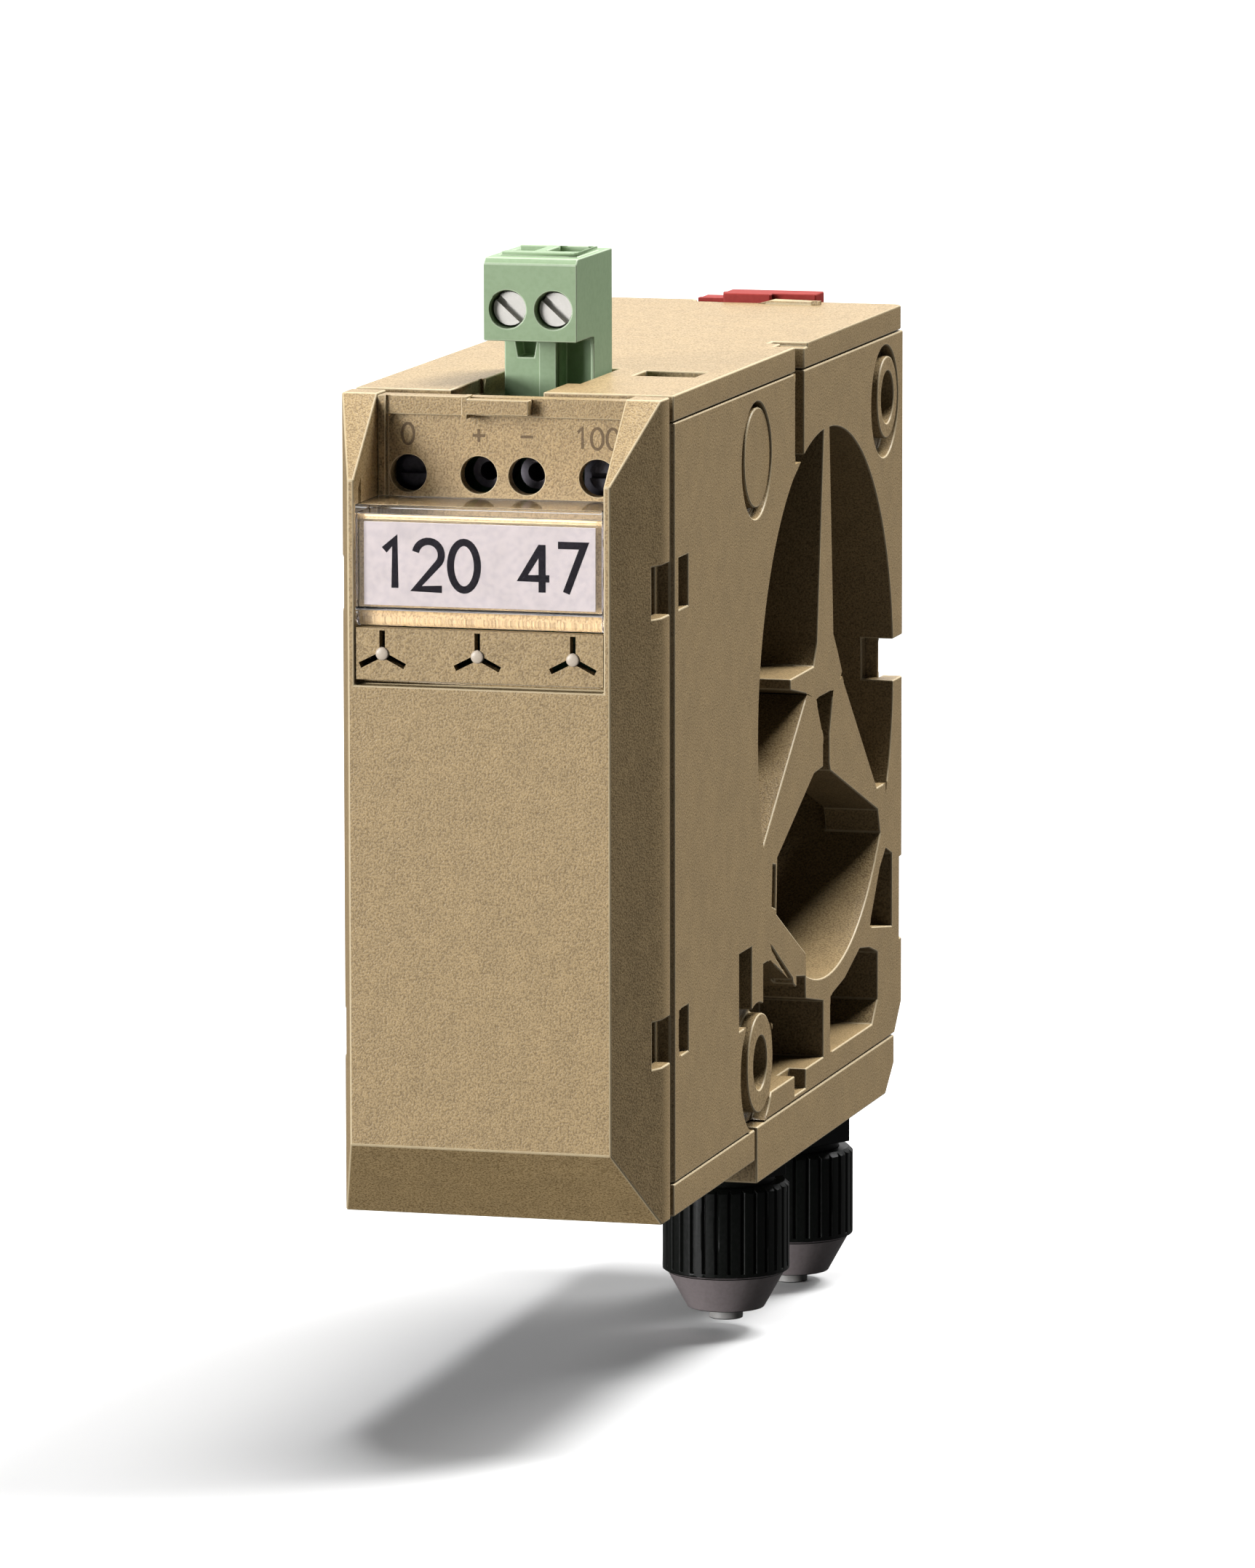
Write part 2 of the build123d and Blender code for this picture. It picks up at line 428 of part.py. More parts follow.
# Terminal plug: two-pole block with the clamp screws in front, wire funnels on top and a narrower neck
POLE_X = (POLE_MID_X - PITCH / 2, POLE_MID_X + PITCH / 2)
PLUG_X = (POLE_MID_X - PLUG_WIDTH / 2, POLE_MID_X + PLUG_WIDTH / 2)
CAGE_X = 3.4
CAGE_UP = (SCREW_UP - 2.3, SCREW_UP + 1.7)
CAGE_AFT = (PLUG_AFT + 3.2, PLUG_AFT + 8.2)
CAGE_TRAVEL = 2.0
with BuildPart() as plug_body:
    block(PLUG_X, (PLUG_AFT, PLUG_END), (PLUG_LOW, PLUG_TOP))
    top_edges = plug_body.part.edges().filter_by(Axis.X).group_by(Axis.Z)[-1].sort_by(Axis.Y)
    chamfer(top_edges[0], 0.6)
    block((PLUG_X[0] + 0.3, PLUG_X[1]), (NECK_AFT, PLUG_END), (NECK_LOW, PLUG_LOW))
    # raised collars of the wire funnels
    block((PLUG_X[0] + 1.2, PLUG_X[1] - 0.6), (CAGE_AFT[0] - 0.6, CAGE_AFT[1] + 2.4), (PLUG_TOP, PLUG_TOP + 0.5))
    # open front of the right-hand pole and the coding hole of the left-hand one
    block((POLE_MID_X + 1.25, PLUG_X[1] - 0.4), (NECK_AFT - 1, NECK_AFT + 2.9), (NECK_LOW - 1, PLUG_LOW - 0.4),
          Mode.SUBTRACT)
    with BuildSketch(Plane.XZ.offset(-aft(NECK_AFT + 2.6))) as coding:
        with Locations((POLE_X[0] + 0.1, up(PLUG_LOW - 1.35))):
            Trapezoid(2.5, 2.1, 80, rotation=180)
    extrude(coding.sketch, amount=4, mode=Mode.SUBTRACT)
    block((POLE_MID_X - 0.8, POLE_MID_X + 1.15), (NECK_AFT - 0.8, NECK_AFT), (HEIGHT - 5, PLUG_LOW))
    for x in POLE_X:
        # screw well, cage chamber, wire funnel and the socket for the header pin
        front_disc((x, SCREW_UP), SCREW_HEAD_R + 0.25, (PLUG_AFT - 1, PLUG_AFT + 3.4), Mode.SUBTRACT)
        block((x - CAGE_X / 2 - 0.2, x + CAGE_X / 2 + 0.2), (CAGE_AFT[0] - 0.2, CAGE_AFT[1] + CAGE_TRAVEL + 0.2),
              (CAGE_UP[0] - 0.2, CAGE_UP[1] + 0.2), Mode.SUBTRACT)
        block((x - 1.5, x + 1.5), (CAGE_AFT[0] + 1.2, CAGE_AFT[1] + 1.2), (SCREW_UP, PLUG_TOP + 1), Mode.SUBTRACT)
        block((x - 1.9, x + 1.9), (CAGE_AFT[0] + 0.6, CAGE_AFT[1] + 1.8), (PLUG_TOP - 0.4, PLUG_TOP + 1),
              Mode.SUBTRACT)
        block((x - 0.75, x + 0.75), (NECK_AFT + 3.2, NECK_AFT + 4.7), (NECK_LOW - 1, SCREW_UP - 2),
              Mode.SUBTRACT)
save(plug_body, "plug_body")

# Clamp screws: slotted head, shank and tip; they turn in their cages and draw them along
SCREW_FACE = PLUG_AFT + 1.1
SCREW_TIP = PLUG_AFT + 6.4
for number, x in enumerate(POLE_X, start=1):
    with BuildPart() as clamp_screw:
        front_disc((x, SCREW_UP), SCREW_HEAD_R, (SCREW_FACE, SCREW_FACE + 1.6))
        front_disc((x, SCREW_UP), 1.2, (SCREW_FACE + 1.6, SCREW_TIP))
        with BuildSketch(Plane.XZ.offset(-aft(SCREW_FACE + 0.9))) as slot:
            with Locations((x, up(SCREW_UP))):
                Rectangle(2 * SCREW_HEAD_R + 1, 0.7, rotation=-42)
        extrude(slot.sketch, amount=2, mode=Mode.SUBTRACT)
    save(clamp_screw, f"clamp_screw_{number}")
    with BuildPart() as wire_cage:
        block((x - CAGE_X / 2, x + CAGE_X / 2), CAGE_AFT, CAGE_UP)
        block((x - 1.25, x + 1.25), (CAGE_AFT[0] + 1.1, CAGE_AFT[1] - 0.7), (CAGE_UP[0] - 1, CAGE_UP[1] + 1),
              Mode.SUBTRACT)
        front_disc((x, SCREW_UP), 1.2 + FIT, (CAGE_AFT[0] - 1, CAGE_AFT[0] + 2), Mode.SUBTRACT)
    save(wire_cage, f"wire_cage_{number}")

# Plug header: green shroud under the top with its two pins, and the spare header in the second slot
with BuildPart() as plug_header:
    block((TUNNEL_X[0] + 0.1, TUNNEL_X[1] - 0.1), (NECK_AFT - 1.6, PLUG_END + 1.2), (73.5, EAVES_UP - 0.1))
    block((PLUG_X[0] + 0.1, PLUG_X[1] + 0.2), (NECK_AFT - 1.0, PLUG_END + 0.3), (NECK_LOW - 0.4, EAVES_UP + 1),
          Mode.SUBTRACT)
    for x in POLE_X:
        block((x - 0.5, x + 0.5), (NECK_AFT + 3.45, NECK_AFT + 4.45), (72, NECK_LOW + 1), Mode.SUBTRACT)
save(plug_header, "plug_header")
with BuildPart() as header_pins:
    for x in POLE_X:
        block((x - 0.5, x + 0.5), (NECK_AFT + 3.45, NECK_AFT + 4.45), (70.5, NECK_LOW + 7.5))
        block((x - 0.5, x + 0.5), (7.7, NECK_AFT + 4.45), (70.5, 71.5))
save(header_pins, "header_pins")
with BuildPart() as spare_header:
    block((SPARE_X[0] + 0.1, SPARE_X[1] - 0.1), (SPARE_AFT[0] - 1.2, SPARE_AFT[1] + 1.2), (73.5, EAVES_UP - 0.1))
    block((SPARE_X[0] + 0.9, SPARE_X[1] - 0.9), SPARE_AFT, (NECK_LOW, EAVES_UP + 1), Mode.SUBTRACT)
save(spare_header, "spare_header")

# Control board behind the adjuster panel: trimmers and test jacks stand on it
BOARD_AFT = 6.0
BOARD_THICK = 1.6
JACK_BORE_R = 1.0
JACK_FACE = PANEL_Y + 4.2
with BuildPart() as control_board:
    block((-14.2, 14.2), (BOARD_AFT, BOARD_AFT + BOARD_THICK), (56, 84.5))
    for x in POLE_X:
        block((x - 0.55, x + 0.55), (BOARD_AFT - 1, BOARD_AFT + 3), (70.45, 71.55), Mode.SUBTRACT)
    for low, high in HOOK_UP[:1]:
        block((-15, -12.2), (5, 8), (low, high), Mode.SUBTRACT)
        block((12.2, 15), (5, 8), (low, high), Mode.SUBTRACT)
save(control_board, "control_board")
TRIMMER_X = (HOLE_X[0], HOLE_X[3])
JACK_X = (HOLE_X[1], HOLE_X[2])
DRIVE_R = 1.6
with BuildPart() as trimmer_cases:
    for x in TRIMMER_X:
        block((x - 3.0, x + 3.0), (BOARD_AFT - 4.2, BOARD_AFT), (HOLE_UP - 4, HOLE_UP + 4))
        front_disc((x, HOLE_UP), DRIVE_R + FIT, (BOARD_AFT - 5, BOARD_AFT - 1), Mode.SUBTRACT)
save(trimmer_cases, "trimmer_cases")
for name, x in (("zero_adjuster", TRIMMER_X[0]), ("span_adjuster", TRIMMER_X[1])):
    with BuildPart() as adjuster:
        front_disc((x, HOLE_UP), DRIVE_R, (PANEL_Y + 2.6, BOARD_AFT - 1.1))
        block((x - DRIVE_R - 1, x + DRIVE_R + 1), (PANEL_Y + 2, PANEL_Y + 3.5), (HOLE_UP - 0.3, HOLE_UP + 0.3),
              Mode.SUBTRACT)
    save(adjuster, name)
with BuildPart() as test_jacks:
    for x in JACK_X:
        front_disc((x, HOLE_UP), 1.8, (JACK_FACE, BOARD_AFT))
        front_disc((x, HOLE_UP), JACK_BORE_R, (JACK_FACE - 1, BOARD_AFT - 1), Mode.SUBTRACT)
save(test_jacks, "test_jacks")

# Air fittings: threaded stem, hexagon, threaded collar for the nut, and the barb that enters the tube
HEX_FLATS = 12.0
COLLAR_R = NUT_R - NUT_WALL
COLLAR_END = -14.6
BARB_END = -21.6
PORT_NAMES = ("supply", "output")
for name, port, drop in zip(PORT_NAMES, PORT_AFT, PORT_DROP):
    with BuildPart() as fitting:
        plan_disc((PORT_X, port), 5.0, (BLOCK_LOW, 2.4))
        with BuildSketch(Plane.XY.offset(up(BLOCK_LOW - 2.4 - drop))) as hexagon:
            with Locations((PORT_X, aft(port))):
                RegularPolygon(HEX_FLATS / 2, 6, major_radius=False)
        extrude(hexagon.sketch, amount=2.4 + drop)
        plan_disc((PORT_X, port), COLLAR_R, (COLLAR_END - drop, BLOCK_LOW))
        plan_disc((PORT_X, port), BARB_R, (BARB_END - drop, COLLAR_END))
        plan_disc((PORT_X, port), 1.1, (BARB_END - drop - 1, 3), Mode.SUBTRACT)
    save(fitting, f"{name}_fitting")
    # union nut: knurled sleeve with a conical end, turned over the collar
    with BuildPart() as nut:
        top = NUT_UP - drop
        knurl_end = top - NUT_KNURL
        with BuildSketch(Plane.XZ.offset(-aft(port))) as half_section:
            with BuildLine():
                Polyline([(PORT_X + COLLAR_R + FIT, up(top)), (PORT_X + NUT_R - 0.5, up(top)),
                          (PORT_X + NUT_R, up(top - 0.5)), (PORT_X + NUT_R, up(knurl_end)),
                          (PORT_X + NUT_R - 0.5, up(knurl_end - 0.25)),
                          (PORT_X + TUBE_R + CONE_WALL, up(knurl_end - NUT_CONE)),
                          (PORT_X + TUBE_R + 0.1, up(knurl_end - NUT_CONE)),
                          (PORT_X + TUBE_R + 0.1, up(knurl_end + 0.3)),
                          (PORT_X + COLLAR_R + FIT, up(knurl_end + 0.6))], close=True)
            make_face()
        revolve(half_section.sketch, axis=Axis((PORT_X, aft(port), 0), (0, 0, 1)))
        with BuildSketch(Plane.XY.offset(up(top) + 1)) as grooves:
            with Locations((PORT_X, aft(port))):
                with PolarLocations(NUT_R + 0.2, NUT_GROOVES):
                    RegularPolygon(0.62, 3, rotation=180)
        extrude(grooves.sketch, amount=-(NUT_KNURL + 0.6), mode=Mode.SUBTRACT)
    save(nut, f"{name}_nut")
with BuildPart() as fitting_seals:
    for port in PORT_AFT:
        plan_disc((PORT_X, port), 4.6, (2.4, 3.15))
        plan_disc((PORT_X, port), 2.2, (2, 4), Mode.SUBTRACT)
save(fitting_seals, "fitting_seals")
with BuildPart() as clamp_rings:
    for port, drop in zip(PORT_AFT, PORT_DROP):
        plan_disc((PORT_X, port), COLLAR_R - 0.15, (COLLAR_END - drop - 0.55, COLLAR_END - drop - 0.02))
        plan_disc((PORT_X, port), TUBE_R + 0.05, (COLLAR_END - drop - 1, COLLAR_END - drop), Mode.SUBTRACT)
save(clamp_rings, "clamp_rings")

# Housing screws deep in the two wells, turned into the shell's posts
with BuildPart() as housing_screws:
    for centre in (BOSS_UPPER, BOSS_LOWER):
        side_disc(centre, WELL_R - 0.2, (FLOOR_X + 1, FLOOR_X + 3))
        side_disc(centre, 1.3, (INNER_X + 2, FLOOR_X + 1))
        block((FLOOR_X + 2.2, FLOOR_X + 4), (centre[0] - 0.35, centre[0] + 0.35),
              (centre[1] - WELL_R, centre[1] + WELL_R), Mode.SUBTRACT)
save(housing_screws, "housing_screws")

# Rail latch: spring-loaded slide behind the back wall, with a red finger tab over the top edge
with BuildPart() as rail_latch:
    block((-LATCH_HALF, LATCH_HALF), (LATCH_FRONT, LATCH_BACK), (RAIL_TOP + 4, LATCH_TOP))
    side_outline(((LATCH_FRONT, RAIL_TOP - HOOK_BITE), (LATCH_BACK, RAIL_TOP - HOOK_BITE + 2.0),
                  (LATCH_BACK, LATCH_BLOCK_TOP), (LATCH_FRONT, LATCH_BLOCK_TOP)), (-HOOK_HALF, HOOK_HALF))
    block((-1.9, 1.9), (DEPTH, DEPTH + 4), (SPRING_LOW, SPRING_TOP + 7), Mode.SUBTRACT)
    block((-3, 3), (LATCH_FRONT, LATCH_BACK), (LATCH_TOP - 1, HEIGHT + 0.4))
save(rail_latch, "rail_latch")
with BuildPart() as red_tab:
    block((-6.5, 7.5), (DEPTH - 2.4, LATCH_BACK + 0.9), (LATCH_TOP, HEIGHT + 0.3))
    block((-3.5, 7.5), (DEPTH - 2.4, LATCH_BACK + 0.9), (HEIGHT + 0.3, HEIGHT + 1.0))
    block((-3, 3), (LATCH_FRONT, LATCH_BACK), (LATCH_TOP - 1, HEIGHT + 0.4), Mode.SUBTRACT)
    block((2.4, 9), (DEPTH - 3, DEPTH - 1.2), (LATCH_TOP - 1, HEIGHT + 3), Mode.SUBTRACT)
    block((-9, -3.2), (DEPTH - 3, DEPTH - 1.2), (LATCH_TOP - 1, HEIGHT + 3), Mode.SUBTRACT)
save(red_tab, "red_tab")


def coil(centre, radius, wire, low, high, turns):
    """A compression spring along z at an x and a depth, between two heights."""
    rise = high - low - 2 * wire
    path = Helix(pitch=rise / turns, height=rise, radius=radius,
                 center=(centre[0], aft(centre[1]), up(low) + wire))
    with BuildPart() as spring:
        with BuildSketch(Plane(path @ 0, z_dir=path % 0)):
            RegularPolygon(wire, 4)
        sweep(path=path, is_frenet=True)
    return spring


save(coil((0, LATCH_FRONT + 1.35), 1.05, 0.22, SPRING_LOW, SPRING_TOP, 6), "latch_spring")

# Main board along the left wall, with its capacitors, coils and chips
with BuildPart() as main_board:
    side_outline(((31.5, 18), (92, 18), (92, 70), (31.5, 70)), (BOARD_X, BOARD_X + BOARD_THICK))
save(main_board, "main_board")
with BuildPart() as board_components:
    face = BOARD_X + BOARD_THICK
    for depth, height, size_y, size_z, tall in ((44, 58, 12, 8, 4.5), (62, 60, 9, 9, 2.2), (78, 58, 6, 12, 5),
                                                (46, 34, 8, 14, 5.5), (64, 36, 14, 10, 2.2), (82, 34, 7, 7, 5)):
        block((face, face + tall), (depth - size_y / 2, depth + size_y / 2),
              (height - size_z / 2, height + size_z / 2))
save(board_components, "board_components")

# Booster: body on the floor of the housing, diaphragm, cover and a sprung valve plunger on one axis
UNIT_X = 0.0
UNIT_AFT = 19.0
BOOSTER_LOW = 3.5
BOOSTER_TOP = 22.0
DIAPHRAGM_THICK = 0.8
COVER_TOP = 30.0
PLUNGER_R = 3.0
PLUNGER_TRAVEL = 0.6
TUBE_UP = (17.5, 20.3)
TUBE_X = -6.0
TUBE_OUTER = 1.25
with BuildPart() as booster_body:
    block((-10, 10), (UNIT_AFT - 9.2, UNIT_AFT + 10), (BOOSTER_LOW, BOOSTER_TOP))
    plan_disc((UNIT_X, UNIT_AFT), PLUNGER_R + FIT, (BOOSTER_LOW + 2, BOOSTER_TOP + 1), Mode.SUBTRACT)
    for height in TUBE_UP:
        front_disc((TUBE_X, height), TUBE_OUTER + FIT, (UNIT_AFT + 6, UNIT_AFT + 11), Mode.SUBTRACT)
save(booster_body, "booster_body")
with BuildPart() as booster_plunger:
    plan_disc((UNIT_X, UNIT_AFT), PLUNGER_R, (BOOSTER_LOW + 8, BOOSTER_TOP - 0.1))
    plan_disc((UNIT_X, UNIT_AFT), 1.0, (BOOSTER_LOW + 4, BOOSTER_LOW + 8))
save(booster_plunger, "booster_plunger")
save(coil((UNIT_X, UNIT_AFT), 2.1, 0.3, BOOSTER_LOW + 2, BOOSTER_LOW + 8, 2), "booster_spring")
with BuildPart() as booster_diaphragm:
    plan_disc((UNIT_X, UNIT_AFT), 9.2, (BOOSTER_TOP, BOOSTER_TOP + DIAPHRAGM_THICK))
save(booster_diaphragm, "booster_diaphragm")
with BuildPart() as booster_cover:
    plan_disc((UNIT_X, UNIT_AFT), 9.2, (BOOSTER_TOP + DIAPHRAGM_THICK, COVER_TOP))
    plan_disc((UNIT_X, UNIT_AFT), 7.0, (BOOSTER_TOP + DIAPHRAGM_THICK - 1, COVER_TOP - 3), Mode.SUBTRACT)
    plan_disc((UNIT_X, UNIT_AFT - 6), 1.6 + FIT, (COVER_TOP - 4, COVER_TOP + 1), Mode.SUBTRACT)
save(booster_cover, "booster_cover")

# Current-to-pressure unit: yoke, coil on its bobbin round the magnet core, flapper above the nozzle
YOKE_TOP = 53.5
FLAPPER_UP = 48.0
FLAPPER_THICK = 0.8
FLAPPER_AXIS = (UNIT_AFT + 8.2, FLAPPER_UP + FLAPPER_THICK / 2)
FLAPPER_PIN_R = 0.5
NOZZLE_GAP = 0.35
CORE_R = 2.6
with BuildPart() as unit_yoke:
    block((-8, 8), (UNIT_AFT - 9, UNIT_AFT + 11), (COVER_TOP, COVER_TOP + 2.5))
    block((-8, 8), (UNIT_AFT + 9.2, UNIT_AFT + 11), (COVER_TOP, YOKE_TOP))
    for side in (-1, 1):
        xs = sorted((side * 4.2, side * 6.0))
        block(xs, (UNIT_AFT + 6.8, UNIT_AFT + 9.2), (FLAPPER_UP - 2, FLAPPER_UP + 3))
        side_disc(FLAPPER_AXIS, FLAPPER_PIN_R + FIT, sorted((side * 3, side * 7)), Mode.SUBTRACT)
    plan_disc((UNIT_X, UNIT_AFT - 6), 1.6 + FIT, (COVER_TOP - 1, COVER_TOP + 4), Mode.SUBTRACT)
save(unit_yoke, "unit_yoke")
CORE_LOW = COVER_TOP + 2.5
BOBBIN_TOP = FLAPPER_UP - 2.0
with BuildPart() as magnet_core:
    plan_disc((UNIT_X, UNIT_AFT + 1.5), CORE_R, (CORE_LOW, FLAPPER_UP - 1.2))
save(magnet_core, "magnet_core")
with BuildPart() as coil_bobbin:
    plan_disc((UNIT_X, UNIT_AFT + 1.5), 5.4, (CORE_LOW, BOBBIN_TOP))
    plan_disc((UNIT_X, UNIT_AFT + 1.5), 7.0, (CORE_LOW + 1, BOBBIN_TOP - 1), Mode.SUBTRACT)
    plan_disc((UNIT_X, UNIT_AFT + 1.5), 3.3, (CORE_LOW, BOBBIN_TOP))
    plan_disc((UNIT_X, UNIT_AFT + 1.5), CORE_R + FIT, (CORE_LOW - 1, BOBBIN_TOP + 1), Mode.SUBTRACT)
save(coil_bobbin, "coil_bobbin")
with BuildPart() as coil_winding:
    plan_disc((UNIT_X, UNIT_AFT + 1.5), 5.1, (CORE_LOW + 1, BOBBIN_TOP - 1))
    plan_disc((UNIT_X, UNIT_AFT + 1.5), 3.3, (CORE_LOW, BOBBIN_TOP), Mode.SUBTRACT)
save(coil_winding, "coil_winding")
with BuildPart() as nozzle:
    plan_disc((UNIT_X, UNIT_AFT - 6), 1.6, (COVER_TOP - 3, FLAPPER_UP - NOZZLE_GAP))
    plan_disc((UNIT_X, UNIT_AFT - 6), 0.5, (COVER_TOP - 4, FLAPPER_UP), Mode.SUBTRACT)
save(nozzle, "nozzle")
with BuildPart() as flapper:
    block((-2.6, 2.6), (UNIT_AFT - 8, FLAPPER_AXIS[0] - 0.2), (FLAPPER_UP, FLAPPER_UP + FLAPPER_THICK))
    side_disc(FLAPPER_AXIS, 0.8, (-4.0, 4.0))
    side_disc(FLAPPER_AXIS, FLAPPER_PIN_R, (-6.0, 6.0))
save(flapper, "flapper")

# Air tubes inside: each rises from the connection block and runs forward into the booster
TUBE_BORE = 0.7
with BuildPart() as air_tubes:
    for port, height in zip(PORT_AFT, TUBE_UP):
        with BuildLine() as route:
            FilletPolyline((TUBE_X, aft(port), up(12)), (TUBE_X, aft(port), up(height)),
                           (TUBE_X, aft(UNIT_AFT + 7), up(height)), radius=3.0)
        with BuildSketch(Plane(route.line @ 0, z_dir=(0, 0, 1))) as ring:
            RegularPolygon(TUBE_OUTER, 12)
            RegularPolygon(TUBE_BORE, 8, mode=Mode.SUBTRACT)
        sweep(ring.sketch, path=route.line)
save(air_tubes, "air_tubes")
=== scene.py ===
import json
import math

import bmesh
import bpy
import numpy as np
from mathutils import Euler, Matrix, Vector

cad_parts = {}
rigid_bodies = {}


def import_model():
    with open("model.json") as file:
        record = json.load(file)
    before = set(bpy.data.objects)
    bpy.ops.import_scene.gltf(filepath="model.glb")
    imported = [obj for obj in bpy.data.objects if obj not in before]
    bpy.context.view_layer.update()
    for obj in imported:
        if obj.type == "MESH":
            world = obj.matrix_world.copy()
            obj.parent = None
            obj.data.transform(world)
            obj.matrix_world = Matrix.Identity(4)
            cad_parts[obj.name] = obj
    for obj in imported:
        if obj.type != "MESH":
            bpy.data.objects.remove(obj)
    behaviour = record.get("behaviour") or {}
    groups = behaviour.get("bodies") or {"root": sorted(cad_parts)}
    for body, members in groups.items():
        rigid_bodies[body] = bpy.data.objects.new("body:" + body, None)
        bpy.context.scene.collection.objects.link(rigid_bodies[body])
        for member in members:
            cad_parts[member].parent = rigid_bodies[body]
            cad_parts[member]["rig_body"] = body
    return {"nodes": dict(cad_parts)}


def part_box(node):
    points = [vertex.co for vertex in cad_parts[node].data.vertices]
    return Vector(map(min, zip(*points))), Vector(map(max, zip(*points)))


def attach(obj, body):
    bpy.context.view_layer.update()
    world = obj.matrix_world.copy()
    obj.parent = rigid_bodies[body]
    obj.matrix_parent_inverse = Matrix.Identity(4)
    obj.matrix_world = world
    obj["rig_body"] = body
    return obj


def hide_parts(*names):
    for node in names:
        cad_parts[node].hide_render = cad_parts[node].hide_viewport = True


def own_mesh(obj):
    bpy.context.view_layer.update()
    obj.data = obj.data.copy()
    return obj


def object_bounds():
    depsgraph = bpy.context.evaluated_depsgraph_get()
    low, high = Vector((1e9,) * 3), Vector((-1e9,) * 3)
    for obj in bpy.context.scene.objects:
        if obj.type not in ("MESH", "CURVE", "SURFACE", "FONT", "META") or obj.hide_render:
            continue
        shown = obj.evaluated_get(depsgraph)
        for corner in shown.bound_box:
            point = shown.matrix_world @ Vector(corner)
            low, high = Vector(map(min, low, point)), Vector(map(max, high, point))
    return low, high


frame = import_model()
cad_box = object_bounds()
nodes = frame["nodes"]
MM = 0.001


# Housing shell. The left-hand half of the case with top, front and back walls, injection moulded in a tan
# glass-filled plastic. The mould is spark-eroded, so the skin has a fine dull grain. The rounded edges get a
# paler tan than the faces: a painted highlight for the light that the edges catch.
GRAIN_DETAIL = 3.0
PIT_STARTS, PIT_FULL = 0.42, 0.66
DRIFT_PER_METRE, DRIFT_DETAIL = 380.0, 4.0
DULLER_IN_PITS = 0.12
PIT_DEPTH = 0.00006


def grain_group():
    """Moulded grain: fine noise cut at its middle gives pits, and a slow noise lets the tone drift."""
    group = bpy.data.node_groups.new("moulded_grain", "ShaderNodeTree")
    sockets = group.interface
    for name, kind, start in (("Colour", "NodeSocketColor", (0.5, 0.4, 0.3, 1)),
                              ("Pit Colour", "NodeSocketColor", (0.3, 0.2, 0.1, 1)),
                              ("Pits per Metre", "NodeSocketFloat", 2600.0),
                              ("Pit Strength", "NodeSocketFloat", 0.5),
                              ("Relief", "NodeSocketFloat", 0.3),
                              ("Drift", "NodeSocketFloat", 0.03),
                              ("Roughness", "NodeSocketFloat", 0.6)):
        sockets.new_socket(name, in_out="INPUT", socket_type=kind).default_value = start
    for name, kind in (("Color", "NodeSocketColor"), ("Roughness", "NodeSocketFloat"),
                       ("Normal", "NodeSocketVector")):
        sockets.new_socket(name, in_out="OUTPUT", socket_type=kind)
    make, link = group.nodes.new, group.links.new
    start, end = make("NodeGroupInput"), make("NodeGroupOutput")
    place = make("ShaderNodeTexCoord")
    pits = make("ShaderNodeTexNoise")
    pits.inputs["Detail"].default_value = GRAIN_DETAIL
    link(place.outputs["Object"], pits.inputs["Vector"])
    link(start.outputs["Pits per Metre"], pits.inputs["Scale"])
    cut = make("ShaderNodeMapRange")
    cut.inputs["From Min"].default_value = PIT_STARTS
    cut.inputs["From Max"].default_value = PIT_FULL
    link(pits.outputs["Fac"], cut.inputs["Value"])
    weight = make("ShaderNodeMath")
    weight.operation = "MULTIPLY"
    link(cut.outputs["Result"], weight.inputs[0])
    link(start.outputs["Pit Strength"], weight.inputs[1])
    mixed = make("ShaderNodeMix")
    mixed.data_type = "RGBA"
    link(weight.outputs["Value"], mixed.inputs["Factor"])
    link(start.outputs["Colour"], mixed.inputs[6])
    link(start.outputs["Pit Colour"], mixed.inputs[7])
    drift = make("ShaderNodeTexNoise")
    drift.inputs["Scale"].default_value = DRIFT_PER_METRE
    drift.inputs["Detail"].default_value = DRIFT_DETAIL
    link(place.outputs["Object"], drift.inputs["Vector"])
    tone = make("ShaderNodeMapRange")
    tone.inputs["From Min"].default_value = 0.3
    tone.inputs["From Max"].default_value = 0.7
    tone.inputs["To Min"].default_value = -1.0
    link(drift.outputs["Fac"], tone.inputs["Value"])
    level = make("ShaderNodeMath")
    level.operation = "MULTIPLY_ADD"
    level.inputs[2].default_value = 1.0
    link(tone.outputs["Result"], level.inputs[0])
    link(start.outputs["Drift"], level.inputs[1])
    toned = make("ShaderNodeVectorMath")
    toned.operation = "SCALE"
    link(mixed.outputs[2], toned.inputs[0])
    link(level.outputs["Value"], toned.inputs["Scale"])
    link(toned.outputs["Vector"], end.inputs["Color"])
    dull = make("ShaderNodeMath")
    dull.operation = "MULTIPLY_ADD"
    dull.inputs[1].default_value = DULLER_IN_PITS
    link(weight.outputs["Value"], dull.inputs[0])
    link(start.outputs["Roughness"], dull.inputs[2])
    link(dull.outputs["Value"], end.inputs["Roughness"])
    relief = make("ShaderNodeBump")
    relief.inputs["Distance"].default_value = PIT_DEPTH
    relief.invert = True
    link(start.outputs["Relief"], relief.inputs["Strength"])
    link(pits.outputs["Fac"], relief.inputs["Height"])
    link(relief.outputs["Normal"], end.inputs["Normal"])
    return group


moulded_grain = grain_group()


def combined(tree, operation, first, second):
    """Two numbers of a node tree joined by one operation; either may be a socket or a plain number."""
    node = tree.nodes.new("ShaderNodeMath")
    node.operation = operation
    for socket, source in zip(node.inputs, (first, second)):
        if hasattr(source, "node"):
            tree.links.new(source, socket)
        else:
            socket.default_value = source
    return node.outputs["Value"]


